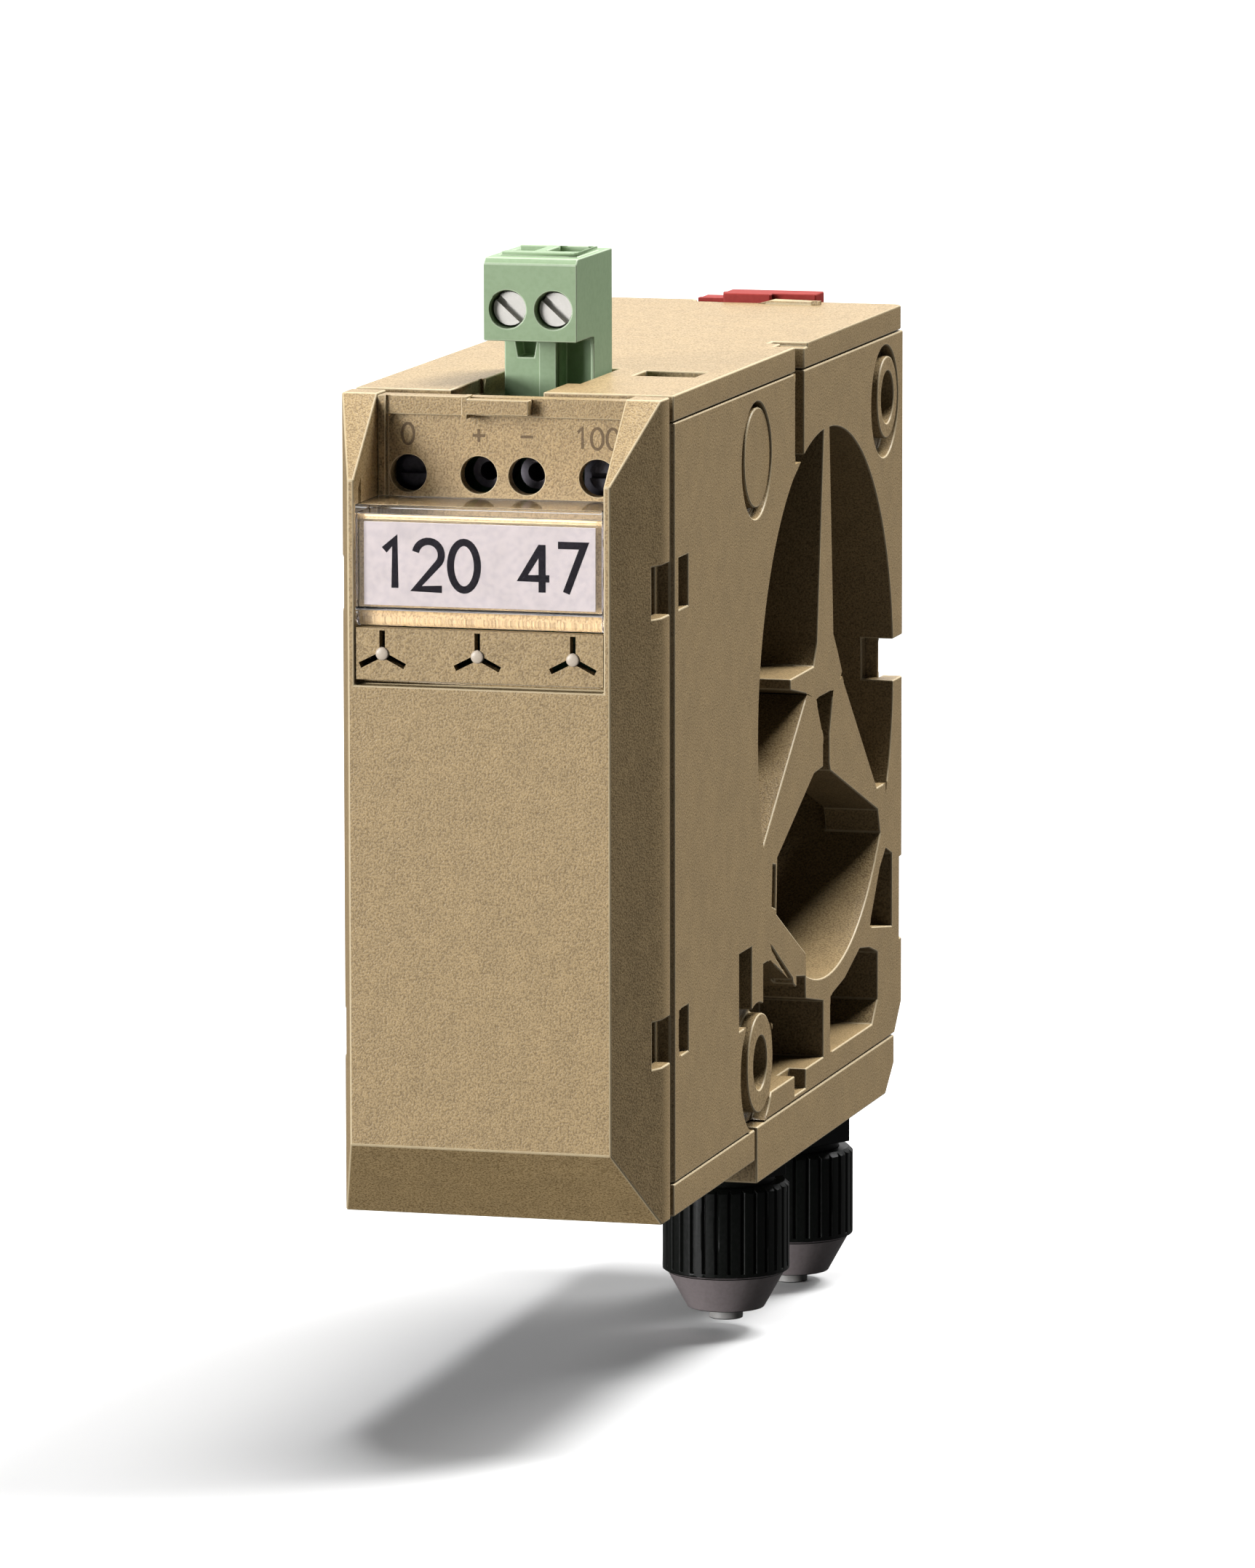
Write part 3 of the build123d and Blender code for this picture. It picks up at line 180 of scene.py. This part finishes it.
def grained(name, colour, pit_colour, pits=2600.0, strength=0.5, relief=0.3, roughness=0.6, metallic=0.0,
            gloss=0.5, drift=0.03, bounce=1.0):
    """A material whose colour, roughness and relief all come from the moulded grain. Light that has already
    bounced off a face sees only a share of the colour, which keeps deep pockets as dark as they look."""
    material = bpy.data.materials.new(name)
    material.use_nodes = True
    tree = material.node_tree
    shader = tree.nodes["Principled BSDF"]
    shader.inputs["Metallic"].default_value = metallic
    shader.inputs["Specular IOR Level"].default_value = gloss
    grain = tree.nodes.new("ShaderNodeGroup")
    grain.node_tree = moulded_grain
    grain.inputs["Colour"].default_value = (*colour, 1)
    grain.inputs["Pit Colour"].default_value = (*pit_colour, 1)
    grain.inputs["Pits per Metre"].default_value = pits
    grain.inputs["Pit Strength"].default_value = strength
    grain.inputs["Relief"].default_value = relief
    grain.inputs["Roughness"].default_value = roughness
    grain.inputs["Drift"].default_value = drift
    tree.links.new(grain.outputs["Color"], shader.inputs["Base Color"])
    if bounce < 1:
        rays = tree.nodes.new("ShaderNodeLightPath")
        ray = rays.outputs
        mirrored = combined(tree, "SUBTRACT", ray["Is Glossy Ray"], ray["Is Transmission Ray"])
        bounced = combined(tree, "MAXIMUM", ray["Is Diffuse Ray"], mirrored)
        share = tree.nodes.new("ShaderNodeMapRange")
        share.inputs["To Min"].default_value = 1.0
        share.inputs["To Max"].default_value = bounce
        held = tree.nodes.new("ShaderNodeVectorMath")
        held.operation = "SCALE"
        tree.links.new(bounced, share.inputs["Value"])
        tree.links.new(grain.outputs["Color"], held.inputs[0])
        tree.links.new(share.outputs["Result"], held.inputs["Scale"])
        tree.links.new(held.outputs["Vector"], shader.inputs["Base Color"])
    tree.links.new(grain.outputs["Roughness"], shader.inputs["Roughness"])
    tree.links.new(grain.outputs["Normal"], shader.inputs["Normal"])
    return material


def finish_node(node, *materials):
    """Gives a CAD node its finish in place of the plain colour it was packed with."""
    mesh = nodes[node].data
    mesh.materials.clear()
    for material in materials:
        mesh.materials.append(material)


def shown(name, data):
    """An object of that name in the scene, for a mesh, a lamp or a camera."""
    piece = bpy.data.objects.new(name, data)
    bpy.context.scene.collection.objects.link(piece)
    return piece


def crossed(flat):
    """Which sides of a closed outline cross another side: both ends of each lie on either side of the
    other, by the signs of the triangle areas."""
    near, far = flat, np.roll(flat, -1, axis=0)

    def turn(p, q, r):
        first, second = q - p, r - p
        return first[..., 0] * second[..., 1] - first[..., 1] * second[..., 0]

    a, b, c, d = near[:, None], far[:, None], near[None], far[None]
    return ((turn(a, b, c) * turn(a, b, d) < 0) & (turn(c, d, a) * turn(c, d, b) < 0)).any(axis=1)


def numbers(items, field, width, kind=np.float32):
    """One field of all the items of a mesh as an array with a row for each item."""
    flat = np.empty(len(items) * width, dtype=kind)
    items.foreach_get(field, flat)
    return flat.reshape(-1, width) if width > 1 else flat


SMALLEST_FOLD = 2e-9
MANY_CORNERS = 8


def folds(mesh):
    """Points of a mesh where a face is folded over: one of its triangles looks away from its shading."""
    mesh.calc_loop_triangles()
    corners = numbers(mesh.loop_triangles, "loops", 3, np.int32)
    shading = numbers(mesh.corner_normals, "vector", 3)[corners]
    facing = (shading * numbers(mesh.loop_triangles, "normal", 3)[:, None]).sum(axis=2).min(axis=1)
    away = (facing < 0) & (numbers(mesh.loop_triangles, "area", 1) > SMALLEST_FOLD)
    owner = numbers(mesh.loop_triangles, "polygon_index", 1, np.int32)
    points = numbers(mesh.vertices, "co", 3)
    corner_point = numbers(mesh.loops, "vertex_index", 1, np.int32)
    spots = [np.empty((0, 3))]
    for index in np.unique(owner[away]):
        face = mesh.polygons[int(index)]
        ring = points[list(face.vertices)]
        if len(ring) > MANY_CORNERS:
            cut = crossed(np.delete(ring, int(np.argmax(np.abs(face.normal))), axis=1))
            turned = corner_point[corners[away & (owner == index)]].ravel()
            ring = ring[cut | np.roll(cut, 1)] if cut.any() else points[turned]
        spots.append(ring)
    return np.vstack(spots)


WELD = 2e-6
FLAT = math.radians(0.6)
SHARP = math.radians(32)
AREA_WEIGHT = 90
ATTEMPTS, ATTEMPTS_WITH_STUBS = 9, 5
FOLD_REACH, STUB, LONG = 3, 6, 14


def rounded(node, width, *materials):
    """A welded copy of a CAD node whose edges are broken by a small radius. The last of the materials
    goes on the rounded edges, the first one on everything else. Where the radius would fold a face over,
    as in a slit, the edge stays sharp for a short way: its stub is split off and gets no radius. Where that
    doesn't help after five attempts, the whole edge stays sharp. Reach, stub and long are in radii."""
    work = bmesh.new()
    work.from_mesh(nodes[node].data)
    bmesh.ops.remove_doubles(work, verts=work.verts, dist=WELD)
    bmesh.ops.dissolve_limit(work, angle_limit=FLAT, verts=work.verts, edges=work.edges)
    weight = work.edges.layers.float.new("bevel_weight_edge")
    for side in work.edges:
        side[weight] = float(side.is_manifold and side.calc_face_angle() > SHARP)
    for face in work.faces:
        face.smooth = True
    mesh = bpy.data.meshes.new(node + "_skin")
    for material in materials:
        mesh.materials.append(material)
    piece = shown(node + "_skin", mesh)
    edge = piece.modifiers.new("edge", "BEVEL")
    edge.width = width
    edge.segments = 2
    edge.limit_method = "WEIGHT"
    edge.use_clamp_overlap = False
    edge.material = len(materials) - 1
    even = piece.modifiers.new("even_shading", "WEIGHTED_NORMAL")
    even.mode = "FACE_AREA"
    even.weight = AREA_WEIGHT
    even.keep_sharp = True
    for attempt in range(ATTEMPTS):
        work.to_mesh(mesh)
        mesh.update()
        finished = piece.evaluated_get(bpy.context.evaluated_depsgraph_get())
        spots = folds(finished.to_mesh())
        finished.to_mesh_clear()
        if not len(spots):
            break
        places = np.array([v.co for v in work.verts])
        near = np.linalg.norm(places[:, None] - spots[None], axis=2).min(axis=1) < FOLD_REACH * width
        for corner in [v for v, is_near in zip(work.verts, near) if is_near]:
            for side in [s for s in corner.link_edges if s[weight] > 0]:
                length = side.calc_length()
                if length > LONG * width and attempt < ATTEMPTS_WITH_STUBS:
                    bmesh.utils.edge_split(side, corner, STUB * width / length)
            for side in [s for s in corner.link_edges if s[weight] > 0]:
                side[weight] = 0
                side.smooth = False
    work.free()
    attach(piece, nodes[node]["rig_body"])
    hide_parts(node)
    return piece


TAN = (0.470, 0.334, 0.166)
TAN_PIT = (0.200, 0.128, 0.050)
# The paler tan of the rounded edges is a painted highlight.
TAN_EDGE_HIGHLIGHT = (0.620, 0.500, 0.310)
TAN_BOUNCE = 0.22
tan_plastic = grained("tan_plastic", TAN, TAN_PIT, pits=4800, strength=0.85, relief=0.7, roughness=0.36,
                     drift=0.07, bounce=TAN_BOUNCE)
# Material of the rounded edges: a paler tan, a painted highlight.
tan_edge_highlight = grained("tan_edge_highlight", TAN_EDGE_HIGHLIGHT, TAN, strength=0.25, relief=0.1, roughness=0.42, bounce=TAN_BOUNCE)
rounded("housing_shell", 0.18 * MM, tan_plastic, tan_edge_highlight)

# Side frame. The right-hand half of the case, a plate with the deep round chamber and its spider, moulded
# in the same tan plastic and held by two screws.
rounded("side_frame", 0.16 * MM, tan_plastic, tan_edge_highlight)

# Front hood. A bevelled cap in the same plastic that snaps into the case with four hooks, with a bare
# plate below the recess.
rounded("front_hood", 0.18 * MM, tan_plastic, tan_edge_highlight)

# Adjuster panel. An upright plate set back behind the recess, with four round holes and a finger tab.
rounded("adjuster_panel", 0.09 * MM, tan_plastic, tan_edge_highlight)

# Vent strip. A strip with three star-shaped vents, pushed into the hood from behind. A small knob sits
# where the slots of each vent meet; its pale colour is a painted highlight.
finish_node("vent_strip", tan_plastic)
# The knob's pale colour is a painted highlight.
knob_highlight = grained("knob_highlight", (0.60, 0.51, 0.41), (0.42, 0.33, 0.23), pits=5000, strength=0.2, relief=0.1,
                   roughness=0.35)
KNOB_R = 0.72 * MM
KNOB_TALL = 0.28 * MM
KNOB_RINGS, KNOB_SIDES = 6, 16
KNOB_SUNK = 0.05 * MM
VENT_UP = 29.1 * MM
strip_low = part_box("vent_strip")[0]


def vent_knob(name, x, z):
    """A flat dome: rings whose radius is the knob's radius times the cosine of an angle and whose height
    over the strip is the knob's height times the root of its sine, closed by one point at the top."""
    angle, round_about = np.meshgrid(np.radians(np.linspace(0, 78, KNOB_RINGS)),
                                     np.linspace(0, 2 * np.pi, KNOB_SIDES + 1)[:-1], indexing="ij")
    reach = KNOB_R * np.cos(angle)
    height = KNOB_TALL * np.sqrt(np.sin(angle)) - KNOB_SUNK * (angle == 0)
    rings = np.stack([x + reach * np.cos(round_about), strip_low.y - height, z + reach * np.sin(round_about)],
                     axis=-1).reshape(-1, 3)
    points = np.vstack([rings, [[x, strip_low.y - KNOB_TALL, z]]])
    ring, spot = np.meshgrid(np.arange(KNOB_RINGS - 1), np.arange(KNOB_SIDES), indexing="ij")
    after = (spot + 1) % KNOB_SIDES
    low, high = ring * KNOB_SIDES, (ring + 1) * KNOB_SIDES
    quads = np.stack([low + spot, low + after, high + after, high + spot], axis=-1).reshape(-1, 4)
    last = (KNOB_RINGS - 1) * KNOB_SIDES + np.arange(KNOB_SIDES)
    cap = np.stack([last, np.roll(last, -1), np.full(KNOB_SIDES, len(rings))], axis=1)
    mesh = bpy.data.meshes.new(name)
    mesh.from_pydata(points.tolist(), [], quads.tolist() + cap.tolist())
    mesh.materials.append(knob_highlight)
    mesh.shade_smooth()
    piece = shown(name, mesh)
    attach(piece, "housing")


for number, middle in enumerate((-10.6, -0.2, 10.2)):
    vent_knob("vent_knob_%d" % (number + 1), middle * MM, VENT_UP)

# Connection block. The solid base of the case that carries both air fittings.
rounded("connection_block", 0.2 * MM, tan_plastic, tan_edge_highlight)

# Rail latch. The slide behind the back wall is moulded in the case's plastic.
finish_node("rail_latch", tan_plastic)

# Marks over the adjuster holes, in a darker brown than the panel and laid just on its face. They are
# plain signs: nought, plus, minus and a hundred.
MARK_TALL = 2.3 * MM
MARK_STROKE = 0.30 * MM
STROKE_LAYER = 0.004 * MM
SIGN_STEP, SIGN_WIDE = 0.74, 0.62
BLUNTEST = 0.55


def arc(centre, size, start, end, steps=14):
    """Points of an ellipse arc: centre plus size times the cosine and sine of evenly spaced angles."""
    angle = np.radians(np.linspace(start, end, steps))
    return np.stack([centre[0] + size[0] * np.cos(angle), centre[1] + size[1] * np.sin(angle)], axis=1)


def digit_strokes(sign):
    """Strokes of a sign in a cell one high and 0.6 wide, each an array of points along its middle line."""
    line = np.array
    if sign == "0":
        return [arc((0.3, 0.5), (0.28, 0.48), 0, 360, 33)]
    if sign == "1":
        return [line([(0.12, 0.78), (0.34, 0.98), (0.34, 0.02)])]
    if sign == "2":
        return [np.vstack([arc((0.3, 0.71), (0.27, 0.27), 170, -35, 15), line([(0.04, 0.02), (0.58, 0.02)])])]
    if sign == "4":
        return [line([(0.429, 0.941), (0.03, 0.30), (0.59, 0.30)]), line([(0.44, 0.98), (0.44, 0.02)])]
    if sign == "7":
        return [line([(0.03, 0.98), (0.57, 0.98), (0.20, 0.02)])]
    if sign == "+":
        return [line([(0.02, 0.5), (0.62, 0.5)]), line([(0.32, 0.2), (0.32, 0.8)])]
    return [line([(0.02, 0.5), (0.62, 0.5)])]


def ribbon(points, width):
    """Both sides of a flat stroke: each point of its line moved half the width along the mitred normal."""
    ahead = np.diff(points, axis=0)
    ahead = ahead / np.linalg.norm(ahead, axis=1)[:, None]
    side = np.stack([-ahead[:, 1], ahead[:, 0]], axis=1)
    mean = np.vstack([side[:1], side[:-1] + side[1:], side[-1:]])
    if np.allclose(points[0], points[-1]):
        mean[0] = mean[-1] = side[0] + side[-1]
    mean = mean / np.linalg.norm(mean, axis=1)[:, None]
    turn = np.vstack([side[:1], side])
    reach = (width / 2) / np.clip((mean * turn).sum(axis=1), BLUNTEST, 1)
    left = points + mean * reach[:, None]
    right = points - mean * reach[:, None]
    return left, right


def print_signs(name, text, left, base, tall, stroke, plane, body, material):
    """Signs in a row on a plane that faces the front: quads between both sides of every stroke."""
    corners, faces, planes = [], [], []
    for place, sign in enumerate(text):
        if sign == " ":
            continue
        for layer, points in enumerate(digit_strokes(sign)):
            over, under = ribbon(points * tall + [left + place * SIGN_STEP * tall, base], stroke)
            first = sum(len(c) for c in corners)
            count = len(over)
            corners += [over, under]
            planes += [plane - layer * STROKE_LAYER] * (2 * count)
            row = np.arange(count - 1)
            faces.append(np.stack([first + row, first + count + row, first + count + row + 1,
                                   first + row + 1], axis=1))
    flat = np.vstack(corners)
    placed = np.stack([flat[:, 0], planes, flat[:, 1]], axis=1)
    quads = np.vstack(faces)
    mesh = bpy.data.meshes.new(name)
    mesh.from_pydata(placed.tolist(), [], quads.tolist())
    mesh.update()
    if mesh.polygons[0].normal.y > 0:
        mesh.flip_normals()
    mesh.materials.append(material)
    piece = shown(name, mesh)
    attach(piece, body)
    return piece


mark_brown = grained("mark_brown", (0.130, 0.080, 0.032), (0.21, 0.14, 0.07), pits=5000, strength=0.6)
HOLE_MIDDLES = (-10.5, -2.75, 2.5, 10.25)
PANEL_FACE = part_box("adjuster_panel")[0].y + 2.3 * MM
MARK_PROUD = 0.02 * MM
MARK_BASE = 50.2 * MM
for sign, name, middle in zip(("0", "+", "-", "100"), ("nought", "plus", "minus", "hundred"), HOLE_MIDDLES):
    across = (SIGN_STEP * (len(sign) - 1) + SIGN_WIDE) * MARK_TALL
    print_signs("mark_" + name, sign, middle * MM - across / 2, MARK_BASE, MARK_TALL, MARK_STROKE,
                PANEL_FACE - MARK_PROUD, "housing", mark_brown)

# Marker flap. A clear polycarbonate cover, polished, hinged on two pins at its lower edge.
FLAP_TINT = (0.98, 0.95, 0.92)
FLAP_SHADOW = (0.86, 0.85, 0.83)
SMEARS_PER_METRE = 160.0
clear = bpy.data.materials.new("clear_flap")
clear.use_nodes = True
tree = clear.node_tree
glass = tree.nodes["Principled BSDF"]
glass.inputs["Base Color"].default_value = (*FLAP_TINT, 1)
glass.inputs["Metallic"].default_value = 0.0
glass.inputs["Transmission Weight"].default_value = 1.0
glass.inputs["IOR"].default_value = 1.5
smear = tree.nodes.new("ShaderNodeTexNoise")
smear.inputs["Scale"].default_value = SMEARS_PER_METRE
smear_range = tree.nodes.new("ShaderNodeMapRange")
smear_range.inputs["To Min"].default_value = 0.02
smear_range.inputs["To Max"].default_value = 0.09
place = tree.nodes.new("ShaderNodeTexCoord")
tree.links.new(place.outputs["Object"], smear.inputs["Vector"])
tree.links.new(smear.outputs["Fac"], smear_range.inputs["Value"])
tree.links.new(smear_range.outputs["Result"], glass.inputs["Roughness"])
rays = tree.nodes.new("ShaderNodeLightPath")
see_through = tree.nodes.new("ShaderNodeBsdfTransparent")
see_through.inputs["Color"].default_value = (*FLAP_SHADOW, 1)
either = tree.nodes.new("ShaderNodeMixShader")
tree.links.new(rays.outputs["Is Shadow Ray"], either.inputs["Fac"])
tree.links.new(glass.outputs["BSDF"], either.inputs[1])
tree.links.new(see_through.outputs["BSDF"], either.inputs[2])
tree.links.new(either.outputs["Shader"], tree.nodes["Material Output"].inputs["Surface"])
rounded("marker_flap", 0.13 * MM, clear)

# Marker label. A slip of white card behind the flap with a plain number in black.
card = grained("card", (0.86, 0.83, 0.87), (0.68, 0.66, 0.73), pits=1500, strength=0.35, relief=0.15,
               roughness=0.75)
finish_node("marker_label", card)
label_ink = grained("label_ink", (0.008, 0.007, 0.010), (0.018, 0.016, 0.022), pits=6000, roughness=0.8,
                    gloss=0.05)
label_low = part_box("marker_label")[0]
DIGIT_TALL = 5.25 * MM
DIGIT_STROKE = 0.78 * MM
MARGIN_LEFT, MARGIN_LOW = 1.6 * MM, 1.75 * MM
INK_PROUD = 0.015 * MM
print_signs("label_number", "120 47", label_low.x + MARGIN_LEFT, label_low.z + MARGIN_LOW, DIGIT_TALL,
            DIGIT_STROKE, label_low.y - INK_PROUD, "marker_flap", label_ink)

# Terminal plug. A two-pole pluggable screw terminal in pale green polyamide.
green = grained("green_polyamide", (0.290, 0.405, 0.235), (0.215, 0.315, 0.170), pits=1800, strength=0.3,
                relief=0.12, roughness=0.42)
# The paler green of the plug's rounded edges is a painted highlight.
green_edge_highlight = grained("green_edge_highlight", (0.46, 0.57, 0.39), (0.34, 0.46, 0.28), strength=0.2, roughness=0.38)
rounded("plug_body", 0.14 * MM, green, green_edge_highlight)
finish_node("plug_header", green)
finish_node("spare_header", green)

# Clamp screws, cages, pins and jacks. Steel parts, zinc or tin plated. The jacks behind the panel's holes
# get a dark grey in place of their tin: painted shade that keeps the holes dark.
zinc = grained("zinc_plate", (0.66, 0.64, 0.60), (0.50, 0.48, 0.45), pits=2200, strength=0.35, relief=0.04,
               roughness=0.34, metallic=1.0)
tin = grained("tin_plate", (0.66, 0.62, 0.50), (0.45, 0.42, 0.33), pits=2600, strength=0.3, relief=0.15,
              roughness=0.32, metallic=1.0)
for node in ("clamp_screw_1", "clamp_screw_2", "wire_cage_1", "wire_cage_2", "housing_screws",
             "unit_yoke", "magnet_core", "flapper"):
    finish_node(node, zinc)
# Dark grey for the jacks: painted shade, not the colour of their tin.
shaded_tin = grained("shaded_tin", (0.17, 0.16, 0.18), (0.11, 0.10, 0.12), pits=2600, strength=0.3, relief=0.05,
                   roughness=0.55, metallic=1.0)
finish_node("test_jacks", shaded_tin)
for node in ("header_pins", "nozzle"):
    finish_node(node, tin)

# Springs. Coils of zinc-plated wire; each is pressed against its seat in the case by the piece it pushes.
WIRE_END = math.radians(50)


def pressed_spring(node):
    """A welded copy of a coil, shaded smooth except at edges sharper than the wire's end angle, on the coil's
    body.
    """
    work = bmesh.new()
    work.from_mesh(nodes[node].data)
    bmesh.ops.remove_doubles(work, verts=work.verts, dist=WELD)
    for face in work.faces:
        face.smooth = True
    for side in work.edges:
        side.smooth = not side.is_manifold or side.calc_face_angle() < WIRE_END
    mesh = bpy.data.meshes.new(node + "_skin")
    work.to_mesh(mesh)
    work.free()
    mesh.materials.append(zinc)
    piece = shown(node + "_skin", mesh)
    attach(piece, nodes[node]["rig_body"])
    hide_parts(node)
    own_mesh(piece)


pressed_spring("latch_spring")
pressed_spring("booster_spring")

# Adjusters and their cases. Dark moulded plastic behind the holes, with a screwdriver slot.
dark_nylon = grained("dark_nylon", (0.060, 0.055, 0.075), (0.03, 0.028, 0.04), roughness=0.5)
for node in ("zero_adjuster", "span_adjuster", "trimmer_cases", "board_components", "coil_bobbin"):
    finish_node(node, dark_nylon)

# Boards. Glass-fibre laminate under a green solder resist.
resist = grained("solder_resist", (0.035, 0.12, 0.05), (0.02, 0.07, 0.03), pits=900, roughness=0.35)
finish_node("control_board", resist)
finish_node("main_board", resist)

# Union nuts. Black glass-filled nylon, knurled, with a conical end in a lighter grey: a painted reflection of
# the pale table.
black_nylon = grained("black_nylon", (0.004, 0.005, 0.004), (0.012, 0.012, 0.012), pits=2400, strength=0.3,
                      relief=0.2, roughness=0.36, gloss=0.22)
# Lighter grey of the nut's cone: a painted reflection of the pale table.
nut_cone_reflection = grained("nut_cone_reflection", (0.250, 0.215, 0.218), (0.170, 0.147, 0.150), pits=2400, strength=0.3,
                   relief=0.15, roughness=0.28)
CONE_TALL = 4.5 * MM


def lower_part(piece, top, material):
    """Gives the faces of a piece whose middle is below a height a material of their own."""
    middles = numbers(piece.data.polygons, "center", 3)
    piece.data.materials.append(material)
    low = (middles[:, 2] < top).astype(np.int32)
    piece.data.polygons.foreach_set("material_index", low)


for node in ("supply_nut", "output_nut"):
    lower_part(rounded(node, 0.1 * MM, black_nylon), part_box(node)[0].z + CONE_TALL, nut_cone_reflection)

# Air fittings. Black nylon with a hexagon above the nut; the spigot that the tube is pushed over is a
# plain grey and is all that shows under the nut.
spigot_grey = grained("spigot_grey", (0.34, 0.33, 0.32), (0.22, 0.21, 0.20), pits=2400, strength=0.3,
                      relief=0.15, roughness=0.4)
SPIGOT_LONG = 6.9 * MM
for node in ("supply_fitting", "output_fitting"):
    lower_part(rounded(node, 0.1 * MM, black_nylon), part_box(node)[0].z + SPIGOT_LONG, spigot_grey)

# Finger tab of the rail latch, in red plastic.
red = grained("red_plastic", (0.330, 0.033, 0.026), (0.22, 0.018, 0.015), pits=2000, strength=0.3,
              relief=0.15, roughness=0.55, gloss=0.2)
rounded("red_tab", 0.2 * MM, red)

# Inner pieces of the converter: rubber, cast aluminium, copper wire and natural nylon tube.
rubber = grained("rubber", (0.02, 0.02, 0.02), (0.035, 0.035, 0.035), roughness=0.7)
cast = grained("cast_aluminium", (0.52, 0.52, 0.53), (0.36, 0.36, 0.37), pits=1400, relief=0.5,
               roughness=0.42, metallic=1.0)
copper = grained("copper_wire", (0.52, 0.22, 0.09), (0.32, 0.12, 0.05), pits=3000, relief=0.5,
                 roughness=0.35, metallic=1.0)
nylon = grained("natural_nylon", (0.62, 0.60, 0.54), (0.5, 0.48, 0.42), strength=0.2, roughness=0.4)
for node, material in (("fitting_seals", rubber), ("booster_diaphragm", rubber), ("booster_body", cast),
                       ("booster_cover", cast), ("booster_plunger", cast), ("coil_winding", copper),
                       ("air_tubes", nylon), ("clamp_rings", nylon)):
    finish_node(node, material)

# Table and room. A plain pale table right under the lowest fitting, and an even white room. The camera sees
# both in full, also through the clear flap; as lights and in glosses from the front they are much weaker.
FLOOR_HALF = 7.0
FLOOR_SEEN = 0.84
FLOOR_BOUNCE = 0.05
FLOOR_MIRRORED = 0.02
ROOM_LIGHT = 0.012
FRONT_GLOSS = 0.10
BEHIND_LEFT = (-0.35, 0.80, 0.48)


def seen_by_camera(tree, rays):
    """One for what the camera sees straight or through the clear flap, nought for any other ray."""
    return combined(tree, "MAXIMUM", rays.outputs["Is Camera Ray"], rays.outputs["Is Transmission Ray"])


ground = cad_box[0].z
floor_mesh = bpy.data.meshes.new("table")
floor_mesh.from_pydata([(-FLOOR_HALF, -FLOOR_HALF, ground), (FLOOR_HALF, -FLOOR_HALF, ground),
                        (FLOOR_HALF, FLOOR_HALF, ground), (-FLOOR_HALF, FLOOR_HALF, ground)], [],
                       [(0, 1, 2, 3)])
floor_paint = bpy.data.materials.new("table_paint")
floor_paint.use_nodes = True
tree = floor_paint.node_tree
paint = tree.nodes["Principled BSDF"]
paint.inputs["Roughness"].default_value = 0.9
rays = tree.nodes.new("ShaderNodeLightPath")
unseen = tree.nodes.new("ShaderNodeMapRange")
unseen.inputs["To Min"].default_value = FLOOR_MIRRORED
unseen.inputs["To Max"].default_value = FLOOR_BOUNCE
tree.links.new(rays.outputs["Is Diffuse Ray"], unseen.inputs["Value"])
shade = tree.nodes.new("ShaderNodeMix")
shade.data_type = "RGBA"
shade.inputs[7].default_value = (FLOOR_SEEN, FLOOR_SEEN, FLOOR_SEEN, 1)
tree.links.new(seen_by_camera(tree, rays), shade.inputs["Factor"])
tree.links.new(unseen.outputs["Result"], shade.inputs[6])
tree.links.new(shade.outputs[2], paint.inputs["Base Color"])
floor_mesh.materials.append(floor_paint)
table = shown("table", floor_mesh)

world = bpy.data.worlds.new("room")
bpy.context.scene.world = world
world.use_nodes = True
tree = world.node_tree
back = tree.nodes["Background"]
back.inputs["Color"].default_value = (1, 1, 1, 1)
rays = tree.nodes.new("ShaderNodeLightPath")
direction = tree.nodes.new("ShaderNodeTexCoord")
behind = tree.nodes.new("ShaderNodeVectorMath")
behind.operation = "DOT_PRODUCT"
behind.inputs[1].default_value = BEHIND_LEFT
tree.links.new(direction.outputs["Generated"], behind.inputs[0])
gloss = tree.nodes.new("ShaderNodeMapRange")
gloss.inputs["From Min"].default_value = 0.68
gloss.inputs["From Max"].default_value = 0.9
gloss.inputs["To Min"].default_value = FRONT_GLOSS
tree.links.new(behind.outputs["Value"], gloss.inputs["Value"])
glossy = combined(tree, "MULTIPLY", gloss.outputs["Result"], rays.outputs["Is Glossy Ray"])
brightest = combined(tree, "MAXIMUM", seen_by_camera(tree, rays), glossy)
tree.links.new(combined(tree, "MAXIMUM", brightest, ROOM_LIGHT), back.inputs["Strength"])


def lamp(name, towards, strength, spread, mirrored=True):
    """A broad distant lamp that shines from the given direction, soft by its angle. One that isn't mirrored
    lights faces and leaves no gloss on them."""
    data = bpy.data.lights.new(name, "SUN")
    data.energy = strength
    data.angle = math.radians(spread)
    piece = shown(name, data)
    piece.rotation_euler = Vector(towards).to_track_quat("Z", "Y").to_euler()
    piece.visible_glossy = mirrored


lamp("key_left", (-0.50, -0.74, 0.45), 0.9, 24)
lamp("key_low", (-0.64, -0.76, 0.07), 4.0, 24)
lamp("rim_behind", (0.36, 0.82, 0.45), 1.7, 20, mirrored=False)
lamp("right_above", (0.35, 0.45, 0.82), 3.2, 20)
lamp("top", (0.0, 0.25, 0.97), 2.8, 24)

# Camera at the photograph's place: a long lens a little over a metre away, to the right and above.
AZIMUTH = math.radians(15.209)
ELEVATION = math.radians(8.240)
ROLL = math.radians(-0.086)
DISTANCE = 1138.0 * MM
AIM = Vector((3.61, -69.71, 9.31)) * MM
LENS = 238.9
camera_data = bpy.data.cameras.new("camera")
camera_data.lens = LENS
camera_data.sensor_width = 36.0
camera_data.clip_start = 0.05
camera_data.clip_end = 60.0
camera = shown("camera", camera_data)
away = Vector((math.sin(AZIMUTH) * math.cos(ELEVATION), -math.cos(AZIMUTH) * math.cos(ELEVATION),
               math.sin(ELEVATION)))
camera.location = AIM + away * DISTANCE
turn = away.to_track_quat("Z", "Y").to_matrix() @ Euler((0, 0, ROLL)).to_matrix()
camera.rotation_euler = turn.to_euler()
bpy.context.scene.camera = camera
bpy.context.scene.view_settings.view_transform = "Standard"
